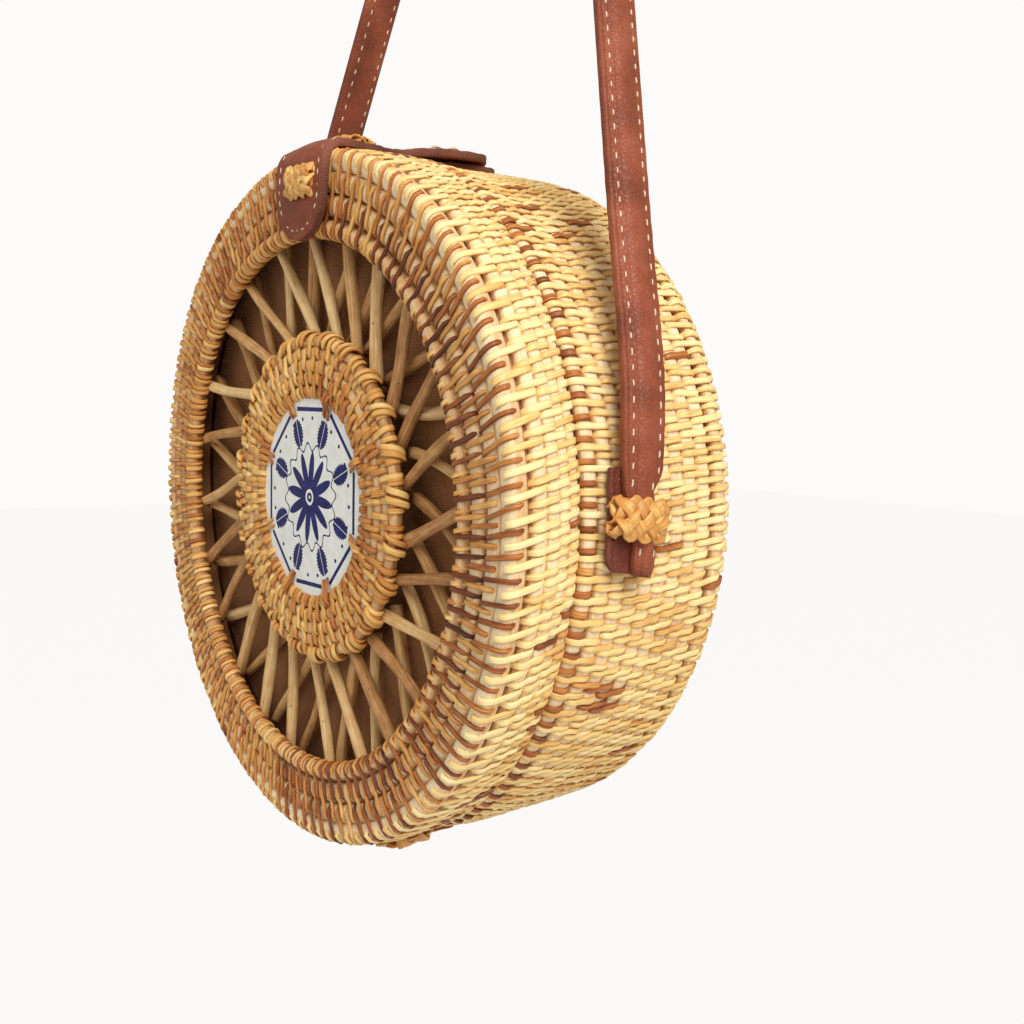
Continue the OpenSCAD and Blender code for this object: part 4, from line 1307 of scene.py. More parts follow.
def make_thread():
    """Cream thread with a fine twist."""
    material, tree, shader = new_material("cream_thread", Roughness=0.7)
    place = add(tree, "ShaderNodeTexCoord").outputs["Object"]
    twist = add(tree, "ShaderNodeTexNoise", {"Vector": place, "Scale": 2400.0, "Detail": 1.0})
    colour = ramp(tree, twist.outputs[0], [(0.3, (206, 178, 142)), (0.7, (240, 220, 190))])
    tree.links.new(colour, shader.inputs["Base Color"])
    bump(tree, shader, twist.outputs[0], 0.0001, 0.5)
    return material


THREAD = make_thread()
print("leather and thread materials", LEATHER.name, DARK_LEATHER.name, THREAD.name)

# %% [markdown]
# ## The shoulder strap
# The strap rises from its two knots, leans in and meets over the bag. Its
# section has a rounded raised middle between two thinner stitched edges. A curve
# object could carry that section, but it keeps one size. Here the section is
# carried in numpy along the same line as the solid strap, which leans back, so
# it can grow narrow above each knot and turn a little on the left leg. Each leg
# also bows outwards beside the front half, which passes it as the bag swings.

# %% Strap line
KNOT_X, KNOT_S, KNOT_Z, LEAN_BACK = 103.9, 44.5, 1.5, math.radians(8.4)
BEND_R, BEND_START, LEAN_IN, TOP_R, STRAP_END = 120.0, 2.0, math.radians(17.1), 22.0, 13.9
LEFT_BOW, RIGHT_BOW, BOW_Z, BOW_REACH = -6.4, 0.8, 43, 22
bend_x, bend_z = KNOT_X - BEND_R * (1 - math.cos(LEAN_IN)), BEND_START + BEND_R * math.sin(LEAN_IN)
TOP_Z = (bend_x * math.cos(LEAN_IN) + bend_z * math.sin(LEAN_IN) - TOP_R) / math.sin(LEAN_IN)


def strap_route():
    """The strap's middle line as points (x, z), from the left end to the right: for
    each leg a straight stretch, an arc inwards and a straight lean, and over the
    bag one arc that joins them."""
    straight = np.stack([np.full(6, KNOT_X), np.linspace(-STRAP_END, BEND_START, 6)], 1)
    a = np.linspace(0, LEAN_IN, 24)[1:]
    bend = np.stack([KNOT_X - BEND_R * (1 - np.cos(a)), BEND_START + BEND_R * np.sin(a)], 1)
    b = np.linspace(LEAN_IN, np.pi / 2, 24)
    top = np.stack([TOP_R * np.cos(b), TOP_Z + TOP_R * np.sin(b)], 1)
    right_leg = np.vstack([straight, bend, top])
    return np.vstack([right_leg * [-1, 1], right_leg[::-1][1:]])


ROUTE = strap_route()
ROUTE_LENGTH = run_length(ROUTE)
STRAP_LENGTH = ROUTE_LENGTH[-1]
print("strap length in mm", round(float(STRAP_LENGTH), 1))


def strap_line(at):
    """Places x, z and outward normal on the strap's middle line, at lengths from its
    left end. The normal is square to the step from 0.6 mm before to 0.6 after."""

    def place(shift):
        return np.stack([np.interp(at + shift, ROUTE_LENGTH, ROUTE[:, k]) for k in (0, 1)], 1)

    step = unit(place(0.6) - place(-0.6))
    return place(0), np.stack([-step[:, 1], step[:, 0]], 1)


def in_strap_plane(x, y, z):
    """The strap's own frame, upright through the knots, leaned back about them.
    Each leg bows outwards by exp(-((height - middle) / reach)^2)."""
    c, s = math.cos(LEAN_BACK), math.sin(LEAN_BACK)
    bow = np.where(np.asarray(x) < 0, LEFT_BOW, RIGHT_BOW)
    x = x + bow * np.exp(-(((z - BOW_Z) / BOW_REACH) ** 2))
    return np.stack([x, -KNOT_S + y * c + z * s, KNOT_Z - y * s + z * c], -1) * MM


# %% Strap section
def strap_section(width, crown, thick):
    """Outline from the outer middle down the back edge, then the front edge the
    other way: a crown, a flat stitched edge and a rounded rim. The front edge is
    wider, with a groove where the outer leather is turned in."""
    w, top = width / 2, thick / 2
    low = top - crown

    def half(edge, groove):
        """From the middle to the rim and back under it, with an edge that wide."""
        inner = w - edge
        out = [[0, top + 0.45], [inner * 0.35, top + 0.34], [inner * 0.7, top], [inner * 0.92, top - 0.5]]
        out += [[inner, top - crown * 0.95], [inner + 0.35, low], *groove]
        out += [[w - 0.5, low - 0.02], [w - 0.12, low - 0.25], [w, low - 0.6]]
        out += [[w, 0.6 - top], [w - 0.14, 0.2 - top], [w - 0.6, -top], [w * 0.5, -top]]
        return np.array(out)

    front = half(3.5, [[w - 1.7, low], [w - 1.45, low - 0.4], [w - 1.2, low]])
    return np.vstack([half(2.6, []), front[::-1] * [-1, 1]])[:-1]


# %% Strap solid
STRAP_W, STRAP_T, STRAP_CROWN, STRAP_SHIFT = 13.7, 3.2, 1.0, 1.0
STRAP_RINGS, RIM_WEAR, RIM_W = 360, 0.25, 0.3
END_ROUND, END_SHARE = 4.0, 0.75
LEFT_TURN = math.radians(13)
# Distance from the strap's end, and where its two edges lie across its line.
NECK_AT = [0, 9, 14, 21, 26, 36, 50]
NECK_FRONT = [1.5, 1.1, -2.4, -4.45, -5.7, -6.6, -6.85]
NECK_BACK = [8.0, 8.0, 6.5, 4.75, 7.1, 6.85, 6.85]


def strap_edges(at):
    """Where the front and back edges lie across the strap's line, by the distance
    from its end: it narrows above each knot, and its short end is narrower."""
    ends = np.minimum(at, STRAP_LENGTH - at)
    return np.interp(ends, NECK_AT, NECK_FRONT), np.interp(ends, NECK_AT, NECK_BACK)


def turn_left_leg(across, out, at):
    """The left leg is turned about its own line, as in the photograph. The turn
    grows over 35 mm above its knot and ends over 20 mm before the top."""
    turn = np.clip((STRAP_LENGTH / 2 - 30 - at) / 20, 0, 1) * np.clip((at - 18) / 35, 0, 1) * LEFT_TURN
    return across * np.cos(turn) - out * np.sin(turn), across * np.sin(turn) + out * np.cos(turn)


def strap_mesh():
    """The section along the strap's line, between its two edges, with rounded ends
    and a low ripple a sin(0.9 l + 3 sin(0.05 l)) above each knot."""
    section = strap_section(STRAP_W, STRAP_CROWN, STRAP_T)
    at = np.linspace(0, STRAP_LENGTH, STRAP_RINGS)
    line, normal = strap_line(at)
    ends = np.minimum(at, STRAP_LENGTH - at)
    round_end = np.sqrt(np.clip(1 - (1 - np.clip(ends / END_ROUND, 0, 1)) ** 2, 0.02, 1))
    scale = round_end * (1 - END_SHARE) + END_SHARE
    front, back = strap_edges(at)
    across = ((front + back) / 2)[:, None] + section[None, :, 0] / STRAP_W * ((back - front) * scale)[:, None]
    across, out = turn_left_leg(across, section[None, :, 1] + 0 * across, at[:, None])
    ripple = 0.12 * np.sin(at * 0.9 + 3 * np.sin(at * 0.05)) * np.exp(-(((ends - 60) / 60) ** 2))
    out = out + ripple[:, None]
    x, z = (line[:, k][:, None] + normal[:, k][:, None] * out for k in (0, 1))
    points = in_strap_plane(x, across + STRAP_SHIFT, z)
    rim = np.abs(section[:, 0]) > STRAP_W / 2 - RIM_W
    edge = np.broadcast_to(np.where(rim, RIM_WEAR, 0.0), x.shape).copy()
    edge[:2], edge[-2:] = RIM_WEAR, RIM_WEAR
    polygons = grid_polygons(1, len(at), len(section))
    return mesh_object("strap_leather", points, polygons, "strap", LEATHER, values={"edge": edge})


strap = strap_mesh()
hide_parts("shoulder_strap")


# %% [markdown]
# ## Stitches
# Cream thread runs in dashes along every edge and sinks into the leather at both
# ends of a dash. A dashed line in the material would look printed, so each dash
# is a small capsule of thread.

# %% Stitches helper
STITCH_RINGS, STITCH_SINK, STITCH_FLAT = 6, 0.28, 0.7


def stitches(name, centre, along, out, body, length=2.4, thick=0.27):
    """Thread dashes: small capsules at centres, each along its own direction. The
    radius is thick x sqrt(1 - t^4), and the ends sink by sink x t^2."""
    t = np.linspace(-1, 1, STITCH_RINGS)
    fat = np.sqrt(np.clip(1 - t**4, 0.04, 1))[:, None] * thick
    turn = np.linspace(0, 2 * np.pi, STITCH_RINGS, endpoint=False)
    side = np.cross(along, out)
    aside = fat * np.cos(turn)
    height = fat * np.sin(turn) * STITCH_FLAT - STITCH_SINK * t[:, None] ** 2
    points = (
        centre[:, None, None, :]
        + along[:, None, None, :] * (t * length / 2 * MM)[None, :, None, None]
        + side[:, None, None, :] * (aside * MM)[None, :, :, None]
        + out[:, None, None, :] * (height * MM)[None, :, :, None]
    )
    polygons = grid_polygons(len(centre), STITCH_RINGS, STITCH_RINGS)
    return mesh_object(name, points, polygons, body, THREAD)


# %% Strap stitches
STITCH_PITCH, STITCH_END = 4.0, 6
FRONT_INSET, BACK_INSET = 2.8, 1.9
OUTER_HEIGHT, INNER_HEIGHT = 0.62, 1.6


def strap_stitches():
    """Two rows of dashes on the strap's outer face and two on its inner face, at an
    inset that shrinks with the strap's width."""
    count = int((STRAP_LENGTH - 2 * STITCH_END) / STITCH_PITCH)
    at = np.linspace(STITCH_END, STRAP_LENGTH - STITCH_END, count)
    line, normal = strap_line(at)
    tangent = np.stack([normal[:, 1], -normal[:, 0]], 1)
    front, back = strap_edges(at)
    share = (back - front) / STRAP_W
    centres, alongs, outs = [], [], []
    for row in (front + FRONT_INSET * share, back - BACK_INSET * share):
        for face, height in ((1, OUTER_HEIGHT), (-1, INNER_HEIGHT)):
            y, out = turn_left_leg(row, height * face, at)
            y = y + STRAP_SHIFT
            x, z = line[:, 0] + normal[:, 0] * out, line[:, 1] + normal[:, 1] * out
            centre = in_strap_plane(x, y, z)
            ahead = in_strap_plane(x + tangent[:, 0], y, z + tangent[:, 1])
            outside = in_strap_plane(x + normal[:, 0] * face, y, z + normal[:, 1] * face)
            centres.append(centre)
            alongs.append(unit(ahead - centre))
            outs.append(unit(outside - centre))
    dashes = (np.concatenate(rows) for rows in (centres, alongs, outs))
    stitches("strap_stitches", *dashes, "strap")


strap_stitches()

# %% [markdown]
# ## The leather closure
# One strip of leather runs from the ring, over the corner and back along the
# top. Its free end lifts. It could be cut in two at the fold, but a gap would
# show when the flap lifts. So the strip stays whole, and its path bends where
# the tab ends. It is laid on a path in the plane through the drum's axis, and
# drops a little to both sides because the drum below is round.

# %% Leather sheets
DRUM_R, TAB_ASIDE = 99, 0.9
# A sheet's section, from its left rim over the top: half width and height as
# shares, with a groove that the stitches lie in. The underside closes it.
SHEET_TOP = [[-1, 0.2], [-1, 0.8], [-0.985, 0.95], [-0.95, 1], [-0.84, 1], [-0.785, 0.92], [-0.73, 1]]
SHEET_TOP += [[-0.35, 1.03]]
SHEET_UNDER = [[0.985, 0.05], [0.94, 0], [0.4, 0], [-0.4, 0], [-0.94, 0], [-0.985, 0.05]]
SHEET = np.array(SHEET_TOP + [[0, 1.05]] + [[-x, y] for x, y in SHEET_TOP[::-1]] + SHEET_UNDER)
EDGE_WEAR = 0.9


def on_path(points, count):
    """Places on leather laid along a path of (s, z): across u, along l, height h.
    The drop to the sides is u^2 / (2 R), by how far the leather looks up."""
    path = smooth_path(points, count)
    tangent = unit(np.gradient(path, axis=0))
    length = run_length(path)

    def place(u, l, h):
        s, z = np.interp(l, length, path[:, 0]), np.interp(l, length, path[:, 1])
        ns, nz = np.interp(l, length, tangent[:, 1]), -np.interp(l, length, tangent[:, 0])
        drop = u**2 / (2 * DRUM_R) * nz**2
        return np.stack([u + TAB_ASIDE + 0 * s, -(s + ns * h), z + nz * h - drop], -1) * MM

    return place, length[-1]


def leather_sheet(name, place, length, width, thick, body, material, first, last, rings):
    """A sheet of even thickness with corners rounded by the radii first and last:
    at distance l from an end, R - sqrt(R^2 - (R - l)^2) is cut off each side."""
    arc = 1 - np.cos(np.radians(np.linspace(3, 90, 16)))
    l = np.linspace(first, length - last, rings)
    l = np.concatenate([first * arc[:-1], l, length - last * arc[::-1][1:]])
    wide = np.full(len(l), width / 2)
    for radius, distance in ((first, l), (last, length - l)):
        short = np.clip(radius - distance, 0, radius)
        wide = wide - radius + np.sqrt(np.clip(radius**2 - short**2, 0, None))
    ripple = 0.1 * np.sin(l * 0.8 + 2) + 0.06 * np.sin(l * 2.1)
    u = SHEET[None, :, 0] * (wide + 0.15 * np.sin(l * 0.37))[:, None]
    h = SHEET[None, :, 1] * thick + (ripple[:, None] * (SHEET[None, :, 1] > 0.5))
    points = place(u, np.broadcast_to(l[:, None], u.shape), h)
    edge = np.broadcast_to(np.where(np.abs(SHEET[:, 0]) > 0.98, EDGE_WEAR, 0.0), u.shape).copy()
    edge[0], edge[-1] = EDGE_WEAR, EDGE_WEAR
    polygons = grid_polygons(1, len(l), len(SHEET))
    return mesh_object(name, points, polygons, body, material, values={"edge": edge})


# %% Tab and flap
TAB_W, TAB_T, TAB_RINGS = 28.2, 2.4, 110
TAB_STITCH_INSET, TAB_STITCH_PITCH, TAB_STITCH_SINK = 2.5, 3.05, 0.1


def outline_dashes(place, length, width, height, inset, pitch):
    """Centres and directions of dashes that follow the outline of a sheet with two
    round ends, inset mm inside it: round the first end from the right side's
    last end, then up the left side, as arcs of radius r and straight lines."""
    r, end = width / 2 - inset, width / 2
    turn = np.radians(np.linspace(0, 90, 12))[1:]
    first = np.stack([-r * np.sin(turn), end - r * np.cos(turn)], 1)
    side = np.stack([np.full(19, -r), np.linspace(end, length - end, 20)[1:]], 1)
    last = np.stack([-r * np.cos(turn), length - end + r * np.sin(turn)], 1)
    left = np.vstack([first, side, last])
    line = np.vstack([left[::-1] * [-1, 1], left[1:]])
    run = run_length(line)
    at = np.linspace(1, run[-1] - 1, int(run[-1] / pitch))

    def on_sheet(shift, lift):
        u, l = (np.interp(at + shift, run, line[:, k]) for k in (0, 1))
        return place(u, l, height + lift + 0 * u)

    centre = on_sheet(0, 0)
    return centre, unit(on_sheet(0.5, 0) - centre), unit(on_sheet(0, 1) - centre)


# From the ring up the front, over the corner, through the fold and back.
TAB_PATH = [[79.4, 72.9], [79.35, 78], [79.3, 86], [79.1, 92.0], [78.2, 96.2], [76.0, 98.5], [73, 98.9]]
TAB_PATH += [[66, 98.4], [61.5, 98.0], [57.7, 97.9], [54.5, 98.1], [51, 98.7], [46, 99.6]]
TAB_PATH += [[40, 100.1], [30, 100.3], [25, 100.3], [20.0, 100.05]]
tab_place, tab_length = on_path(TAB_PATH, 160)
print("tab and flap length in mm", round(float(tab_length), 1))
closure_leather = leather_sheet(
    "closure_leather", tab_place, tab_length, TAB_W, TAB_T, None, LEATHER, TAB_W / 2, TAB_W / 2, TAB_RINGS
)
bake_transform(closure_leather)
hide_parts("closure_tab", "closure_flap")
dashes = outline_dashes(
    tab_place, tab_length, TAB_W, TAB_T - TAB_STITCH_SINK, TAB_STITCH_INSET, TAB_STITCH_PITCH
)
closure_thread = stitches("closure_stitches", *dashes, None)
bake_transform(closure_thread)

# Two thick dashes at the flap's right edge, where its stitching is knotted off.
BAR_LONG, BAR_THICK = 3.8, 0.55
bar_places = np.array([[12.0, -42.6, 102.25], [12.0, -36.6, 102.5]]) * MM
forward, upward = np.array([[0, -1.0, 0]] * 2), np.array([[0, 0, 1.0]] * 2)
bar_thread = stitches(
    "flap_bar_stitches", bar_places, forward, upward, "closure_flap", BAR_LONG, BAR_THICK
)

# %% Lower leather
LOWER_W, LOWER_T, LOWER_RINGS = 20.0, 2.0, 40
LOWER_PATH = [[43, 97.0], [36, 97.3], [30, 97.5], [22, 97.4], [16.2, 97.0]]
lower_place, lower_length = on_path(LOWER_PATH, 40)
print("lower leather length in mm", round(float(lower_length), 1))
lower_leather = leather_sheet(
    "lower_leather",
    lower_place,
    lower_length,
    LOWER_W,
    LOWER_T,
    "back_half",
    LEATHER,
    LOWER_W / 2,
    LOWER_W / 2,
    LOWER_RINGS,
)
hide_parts("back_tab")

# %% [markdown]
# ## The snap
# The snap's two halves are low discs of dull nickel. The lower one has a rivet
# through the leather and the wall, with a cap inside. Such pieces are turned or
# pressed, so a half outline is spun about the snap's upright axis. Spin could
# do that too, but on an outline in numpy the corners are easier to set.

# %% Snap
SNAP_PLACE = (0, -25, 0)
SNAP_R = 6.0
LATHE_AROUND, LATHE_HAIR = 40, 0.03


def make_metal():
    """Dull nickel: turned lines read from the distance to the snap's axis."""
    material, tree, shader = new_material("dull_nickel", Metallic=1.0, Roughness=0.38)
    place = add(tree, "ShaderNodeTexCoord").outputs["Object"]
    to_axis = tuple(-v * MM for v in SNAP_PLACE)
    centred = add(tree, "ShaderNodeVectorMath", {0: place, 1: to_axis}, operation="ADD")
    flat = add(tree, "ShaderNodeVectorMath", {0: centred.outputs[0], 1: (1, 1, 0)}, operation="MULTIPLY")
    radius = add(tree, "ShaderNodeVectorMath", {0: flat.outputs[0]}, operation="LENGTH").outputs["Value"]
    rings = add(tree, "ShaderNodeTexNoise", {"Vector": radius, "Scale": 3000.0, "Detail": 1.0})
    smear = add(tree, "ShaderNodeTexNoise", {"Vector": place, "Scale": 500.0, "Detail": 3.0})
    colour = ramp(tree, smear.outputs[0], [(0.3, (142, 138, 132)), (0.7, (176, 174, 170))])
    tree.links.new(colour, shader.inputs["Base Color"])
    bump(tree, shader, rings.outputs[0], 0.00004, 0.4)
    return material


METAL = make_metal()


def lathe(name, profile, centre, body, material, axis="z", values=None):
    """A closed (radius, height) profile turned about an axis through centre, in mm."""
    profile = np.asarray(profile, float)
    turn = np.linspace(0, 2 * np.pi, LATHE_AROUND, endpoint=False)
    r = np.maximum(profile[:, 0], LATHE_HAIR)[:, None]
    a, b, h = r * np.cos(turn), r * np.sin(turn), profile[:, 1][:, None] + 0 * turn
    order = {"z": (a, b, h), "x": (h, a, b)}[axis]
    points = (np.stack(order, -1) + np.array(centre)) * MM
    uv = np.stack([h * MM, (turn * 3 + 0 * r) * MM], -1)
    values = {key: np.full(h.size, value) for key, value in (values or {}).items()}
    polygons = grid_polygons(1, len(profile), LATHE_AROUND)
    return mesh_object(name, points, polygons, body, material, uv=uv, values=values)


def button(low, high, radius):
    """Half outline of a low disc with rounded edges and a shallow dish on top."""
    t = high - low
    rim = [[radius * 0.9, low], [radius, low + t * 0.3], [radius, low + t * 0.7], [radius * 0.94, high]]
    dish = [[radius * 0.6, high], [radius * 0.5, high - t * 0.25], [0, high - t * 0.25]]
    return [[0, low]] + rim + dish


rivet = [[0, 90.6], [3.6, 90.6], [3.8, 91.4], [1.5, 91.8], [1.5, 99.6]]
snap_low = lathe(
    "snap_lower_disc", rivet + button(99.7, 100.2, SNAP_R)[1:], SNAP_PLACE, "back_half", METAL
)
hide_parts("snap_lower")
# The upper half looks down, so its outline is the same button turned over.
upper_half = np.array(button(-100.75, -100.3, SNAP_R))[::-1] * [1, -1]
snap_top = lathe("snap_upper_disc", upper_half, SNAP_PLACE, "closure_flap", METAL)
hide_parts("snap_upper")

# %% [markdown]
# ## Braided cane knots
# The strap, the tab and the bottom hinges are lashed with flat cane in a small
# plait, which looks like rows of folded leaves. Each strand could be drawn by
# hand as a curve, but a plait follows a rule, and the rule makes all of them.
# Four strands run from side to side of the knot, each along a zigzag a quarter
# of a turn after the next, and pass over and under each other at every crossing.
# A strand's height there is the cosine of pi times its place across, and it
# swaps sign with its direction.

# %% Plaits
PLAIT_STRANDS, PLAIT_STEPS, PLAIT_START = 4, 100, 0.35
PLAIT_OVER, PLAIT_END, PLAIT_DROP = 0.62, 1.4, 0.99
ROUND_SHARE = 0.35


def plait(width, height, bulge, strand_w, thick):
    """Points, uv and tone of flat strands, in the knot's own frame: x along the
    knot, y across it, z outwards, in mm. The place across is a mix of a zigzag
    and a cosine wave. Past both ends x slows down as tanh, and the strands drop."""
    strands, half = PLAIT_STRANDS, PLAIT_STRANDS / 2
    pitch = height / strands
    tau = np.linspace(-1.5, width / pitch + 1.5, PLAIT_STEPS)[None, :]
    phase = 2 * np.arange(strands)[:, None] + PLAIT_START
    cycle = np.mod(tau + phase, 2 * strands)
    zigzag = np.where(cycle < strands, cycle, 2 * strands - cycle)
    wave = half - (half - 0.28) * np.cos(np.pi * cycle / strands)
    across = ROUND_SHARE * wave + (1 - ROUND_SHARE) * zigzag
    way = np.clip(3 * np.sin(np.pi * cycle / strands), -1, 1)
    x = (tau + rng.normal(0, 0.05, (strands, 1))) * pitch - width / 2
    y = (across - half) * pitch * 1.04
    over = np.cos(np.pi * zigzag) * way * thick * PLAIT_OVER
    z = over + bulge * (1 - (2 * y / height) ** 2) + thick / 2
    past = np.clip(np.abs(x) - width / 2 + PLAIT_END, 0, None)
    x = np.sign(x) * (np.abs(x) - past + PLAIT_END * np.tanh(past / PLAIT_END))
    path = np.stack([x + 0 * y, y, z - PLAIT_DROP * past], -1)
    tangent = unit(np.gradient(path, axis=1))
    side = unit(np.cross([0.0, 0.0, 1.0], tangent))
    normal = np.cross(tangent, side)
    side = side + normal * 0.25 * np.sin(np.pi * zigzag + phase)[..., None]
    wide, deep = STRIP[:, 0] * strand_w / 2, STRIP[:, 1] * thick
    points = (
        path[:, :, None, :]
        + side[:, :, None, :] * wide[None, None, :, None]
        + normal[:, :, None, :] * deep[None, None, :, None]
    )
    steps = np.linalg.norm(np.diff(path, axis=1), axis=2)
    length = np.concatenate([np.zeros((strands, 1)), np.cumsum(steps, axis=1)], 1)
    order = np.arange(strands)[:, None, None]
    u = (length[:, :, None] + 0 * wide) * MM + order * 0.37
    v = wide * MM + 0 * u + order * 0.21
    # Painted shade and light: a strand is darker where it passes under another and paler where it lies on
    # top.
    tone = 0.3 + rng.normal(0, 0.05, (strands, 1, 1)) - 0.12 * over[:, :, None] + 0 * u
    return points, np.stack([u, v], -1), np.clip(tone, 0.05, 0.9)


def knot(name, place, size, body, node, strand_w, thick, bulge, warm):
    """One plait put in its place by place(points), which returns metres."""
    points, uv, tone = plait(size[0], size[1], bulge, strand_w, thick)
    polygons = grid_polygons(*points.shape[:3])
    made = mesh_object(
        name, place(points), polygons, body, KNOT_CANE, uv=uv, values={"tone": tone + warm}
    )
    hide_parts(node)


KNOT_CANE = make_cane("knot_cane_skin", coat=0.3)
SIDES = ((-1, "left"), (1, "right"))

# %% Strap knots
STRAP_KNOT_X, STRAP_KNOT_ASIDE, STRAP_KNOT_Z = 105.3, 2.1, -0.1


def strap_knot_place(side):
    """From the knot's frame to its place over the strap."""

    def place(p):
        out = side * (STRAP_KNOT_X + p[..., 2])
        return in_strap_plane(out, p[..., 0] + STRAP_KNOT_ASIDE, p[..., 1] + STRAP_KNOT_Z)

    return place


for side, word in SIDES:
    place = strap_knot_place(side)
    knot("strap_plait_" + word, place, (14.4, 8.6), "strap", "strap_knot_" + word, 3.3, 0.75, 0.9, 0.16)


# %% Tab knots
def tab_knot_place(p):
    """Flat on the tab's front leaf."""
    return np.stack([p[..., 0] + 2.3, -(81.6 + p[..., 2]), 89.0 + p[..., 1]], -1) * MM


def top_knot_place(p):
    """Flat on the tab's top, pressed down a little."""
    return np.stack([p[..., 0], -(65.0 - p[..., 1]), 102.0 + p[..., 2] * 0.8], -1) * MM


knot("tab_plait_front", tab_knot_place, (14.6, 7.2), "front_half", "tab_knot_front", 2.9, 0.7, 1.0, 0.06)
knot("tab_plait_top", top_knot_place, (13.0, 8.6), "front_half", "tab_knot_top", 3.0, 0.7, 0.8, 0.08)

# %% Hinge knots
HINGE_X, HINGE_R, HINGE_S = 28, 100.4, 61.2


def hinge_angle(side):
    """The angle from the top at which a bottom hinge sits: pi - asin(x / R)."""
    return np.pi - side * math.asin(HINGE_X / DRUM_R)


def hinge_knot_place(side):
    """Wrapped on the drum's bottom, x along the rim and y towards the back."""

    def place(p):
        angle = hinge_angle(side) + p[..., 0] / DRUM_R
        return on_drum((HINGE_R + p[..., 2]) * MM, (HINGE_S + p[..., 1]) * MM, angle)

    return place


for side, word in SIDES:
    place = hinge_knot_place(side)
    knot("hinge_plait_" + word, place, (14.0, 11.0), "front_half", "hinge_knot_" + word, 3.7, 0.8, 1.0, 0.2)

# %% Lacing on the back half
LACING_PATH = [[95.5, 57.3], [98.4, 57.6], [100.4, 56.6], [100.9, 53.5], [100.6, 49.5], [100.3, 46.0]]
LACING_PATH += [[98.2, 44.2]]
LACING_TONES = np.array([0.5, 0.42, 0.56])
LACING_STEP = 1.6875


def hinge_lacing():
    """Three turns of cane round the back half's rim rod, beside each hinge knot."""
    path = smooth_path(LACING_PATH, 14)[::-1]
    for side, word in SIDES:
        angles = hinge_angle(side) + np.array([-1, 0, 1]) * LACING_STEP / DRUM_R
        points, uv = strip_points(path, angles, 1.6, 0.7, 0.12, jitter=0.05, pitch=1.5)
        turns = [(points, uv, LACING_TONES)]
        made = merge_strips("hinge_lacing_turns_" + word, turns, "back_half", KNOT_CANE)
        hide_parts("hinge_lacing_" + word)


hinge_lacing()

# %% [markdown]
# ## Under the strap's knots
# A second layer of leather lies between the strap and the drum. The lashing
# goes through both and through the wall, and ends in a small knot inside. Most
# of that is hidden, but it shows when the bag is open, so the layer is a leather
# sheet like the tab, the lashing is a turned pin and the knot one more plait.

# %% Folds and lashings
FOLD_X, FOLD_W, FOLD_T, FOLD_LENGTH, FOLD_LOW, FOLD_RINGS = 100.45, 13.6, 1.75, 25.0, -13.6, 24
FOLD_ASIDE, FOLD_LEAN = 2.3 - 0.13 * 14.6, -0.13
INNER_KNOT_X, INNER_KNOT_FLAT, PIN_X = 92.2, 0.5, 98.0
PIN = [[0, -5.4], [2.6, -5.3], [3.3, -4.9], [3.2, -4.4], [3.0, -4.2], [2.9, 1.5], [2.9, 4.0], [0, 4.1]]


def fold_place(side):
    """A sheet behind the strap: u forward and back, l upwards, h outwards. Above
    the knot it bends inwards with the strap's own curve, by z^2 / (2 R)."""

    def place(u, l, h):
        z = l + FOLD_LOW
        bend = np.clip(z - BEND_START, 0, None) ** 2 / (2 * BEND_R)
        across = u + FOLD_ASIDE + FOLD_LEAN * z + STRAP_SHIFT
        return in_strap_plane(side * (FOLD_X + h - bend), across, z)

    return place


def inner_knot_place(side):
    """The plait that ends the lashing, flat on the lining inside the bag."""

    def place(p):
        return in_strap_plane(side * (INNER_KNOT_X - INNER_KNOT_FLAT * p[..., 2]), p[..., 0], p[..., 1])

    return place


for side, word in SIDES:
    under = leather_sheet(
        "strap_underlay_" + word,
        fold_place(side),
        FOLD_LENGTH,
        FOLD_W,
        FOLD_T,
        "strap",
        DARK_LEATHER,
        3.0,
        1.0,
        FOLD_RINGS,
    )
    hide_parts("strap_fold_" + word)
    centre = in_strap_plane(side * PIN_X, 0.0, 0.0) / MM
    profile = [[r, h * side] for r, h in PIN]
    pin = lathe(
        "strap_tie_" + word, profile, centre, "strap", KNOT_CANE, axis="x", values={"tone": 0.4}
    )
    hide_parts("strap_lashing_" + word)
    place, node = inner_knot_place(side), "strap_lashing_" + word
    knot("strap_inner_plait_" + word, place, (8.4, 6.4), "strap", node, 2.4, 0.6, 0.9, 0.12)

# %% [markdown]
# ## Lights, floor and surroundings
# The photograph has soft light from the right and above, and a white ground.
# More light would make the ground white, but it would burn out the cane too. So
# two large lamps and a pale world light the bag, and the white ground comes from
# the floor's and the world's own colour as the camera sees them.

# %% Lights and floor
FLOOR_Z, FLOOR_HALF = -0.36, 4
MIDDLE = (0, -0.04, 0)
SEEN_WHITE = (*srgb((252, 251, 249)), 1)


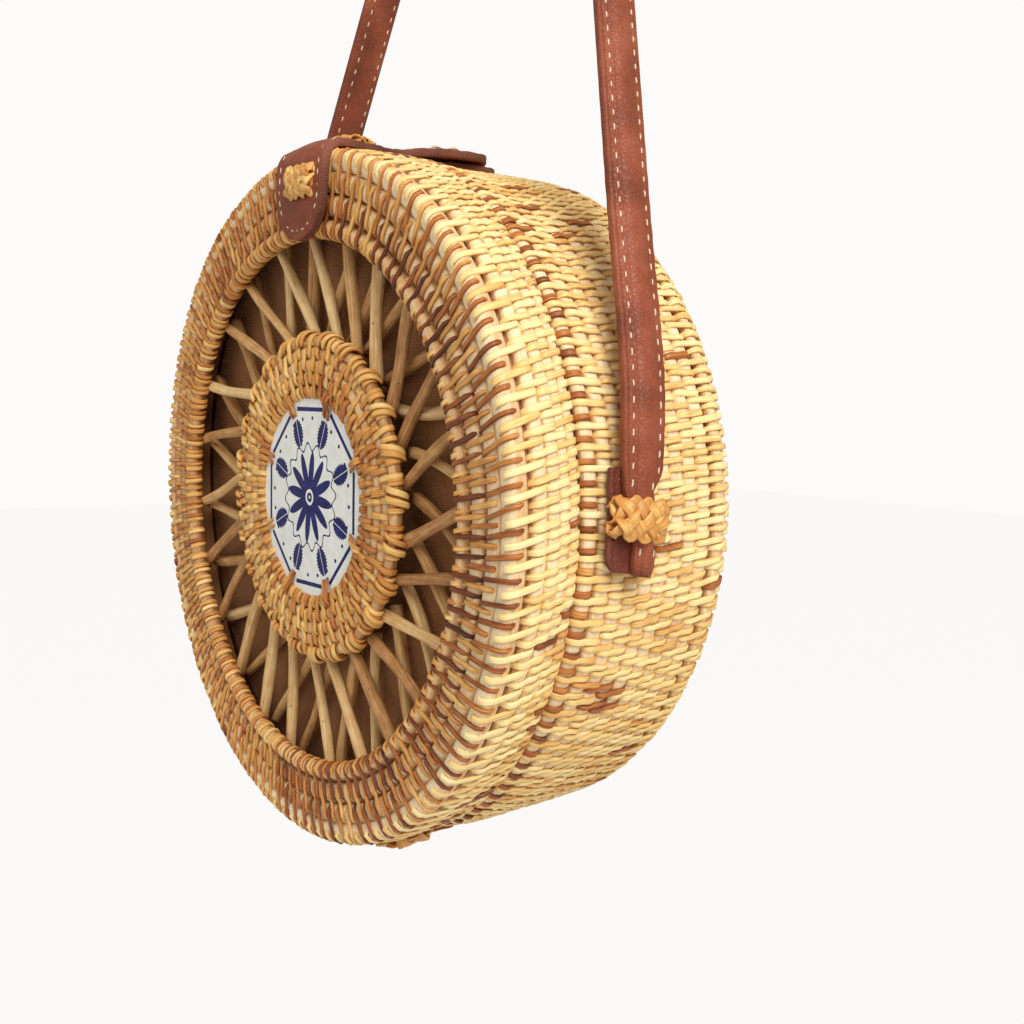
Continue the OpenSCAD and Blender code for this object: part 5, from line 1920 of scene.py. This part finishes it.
def add_lamp(name, size, power, place):
    """A square area lamp at place that faces the bag's middle."""
    data = bpy.data.lights.new(name, "AREA")
    data.shape, data.size, data.energy = "SQUARE", size, power
    back = unit(np.array(place) - np.array(MIDDLE))
    right = unit(np.cross([0, 0, 1.0], back))
    stand(bpy.data.objects.new(name, data), place, [right, np.cross(back, right), back])
    print(name, "power in W", power)


add_lamp("right_lamp", 1.4, 50, (1.7, -0.4, 1.4))
add_lamp("front_lamp", 1.2, 3.0, (0.1, -1.3, 0.6))


def make_ground():
    """A pale floor that the camera sees as nearly white, with a faint shadow: 97
    parts of its own white and 3 of the lit floor."""
    material, tree, shader = new_material("pale_ground", Base_Color=(0.72, 0.71, 0.7, 1), Roughness=0.9)
    glow = add(tree, "ShaderNodeEmission", {"Color": SEEN_WHITE, "Strength": 1.0})
    path = add(tree, "ShaderNodeLightPath")
    share = math_node(tree, "MULTIPLY", path.outputs["Is Camera Ray"], 0.97)
    mixed = add(tree, "ShaderNodeMixShader", {0: share, 1: shader.outputs[0], 2: glow.outputs[0]})
    tree.links.new(mixed.outputs[0], tree.nodes["Material Output"].inputs[0])
    return material


corners = [(x * FLOOR_HALF, y * FLOOR_HALF, FLOOR_Z) for x, y in ((-1, -1), (1, -1), (1, 1), (-1, 1))]
floor_mesh = bpy.data.meshes.new("floor")
floor_mesh.from_pydata(corners, [], [(0, 1, 2, 3)])
floor_mesh.materials.append(make_ground())
floor = bpy.data.objects.new("floor", floor_mesh)
bpy.context.scene.collection.objects.link(floor)

# %% Surroundings
world = bpy.data.worlds.new("surround")
bpy.context.scene.world = world
world.use_nodes = True
world_tree = world.node_tree
light = world_tree.nodes["Background"]
light.inputs["Color"].default_value = (1.0, 0.94, 0.86, 1)
light.inputs["Strength"].default_value = 0.4
seen = add(world_tree, "ShaderNodeBackground", {"Color": SEEN_WHITE, "Strength": 1.0})
seen_by_camera = add(world_tree, "ShaderNodeLightPath").outputs["Is Camera Ray"]
both = add(
    world_tree, "ShaderNodeMixShader", {0: seen_by_camera, 1: light.outputs[0], 2: seen.outputs[0]}
)
world_tree.links.new(both.outputs[0], world_tree.nodes["World Output"].inputs[0])
bpy.context.scene.view_settings.view_transform = "Standard"
print("world", world.name, "lights the bag at strength", round(light.inputs["Strength"].default_value, 2))
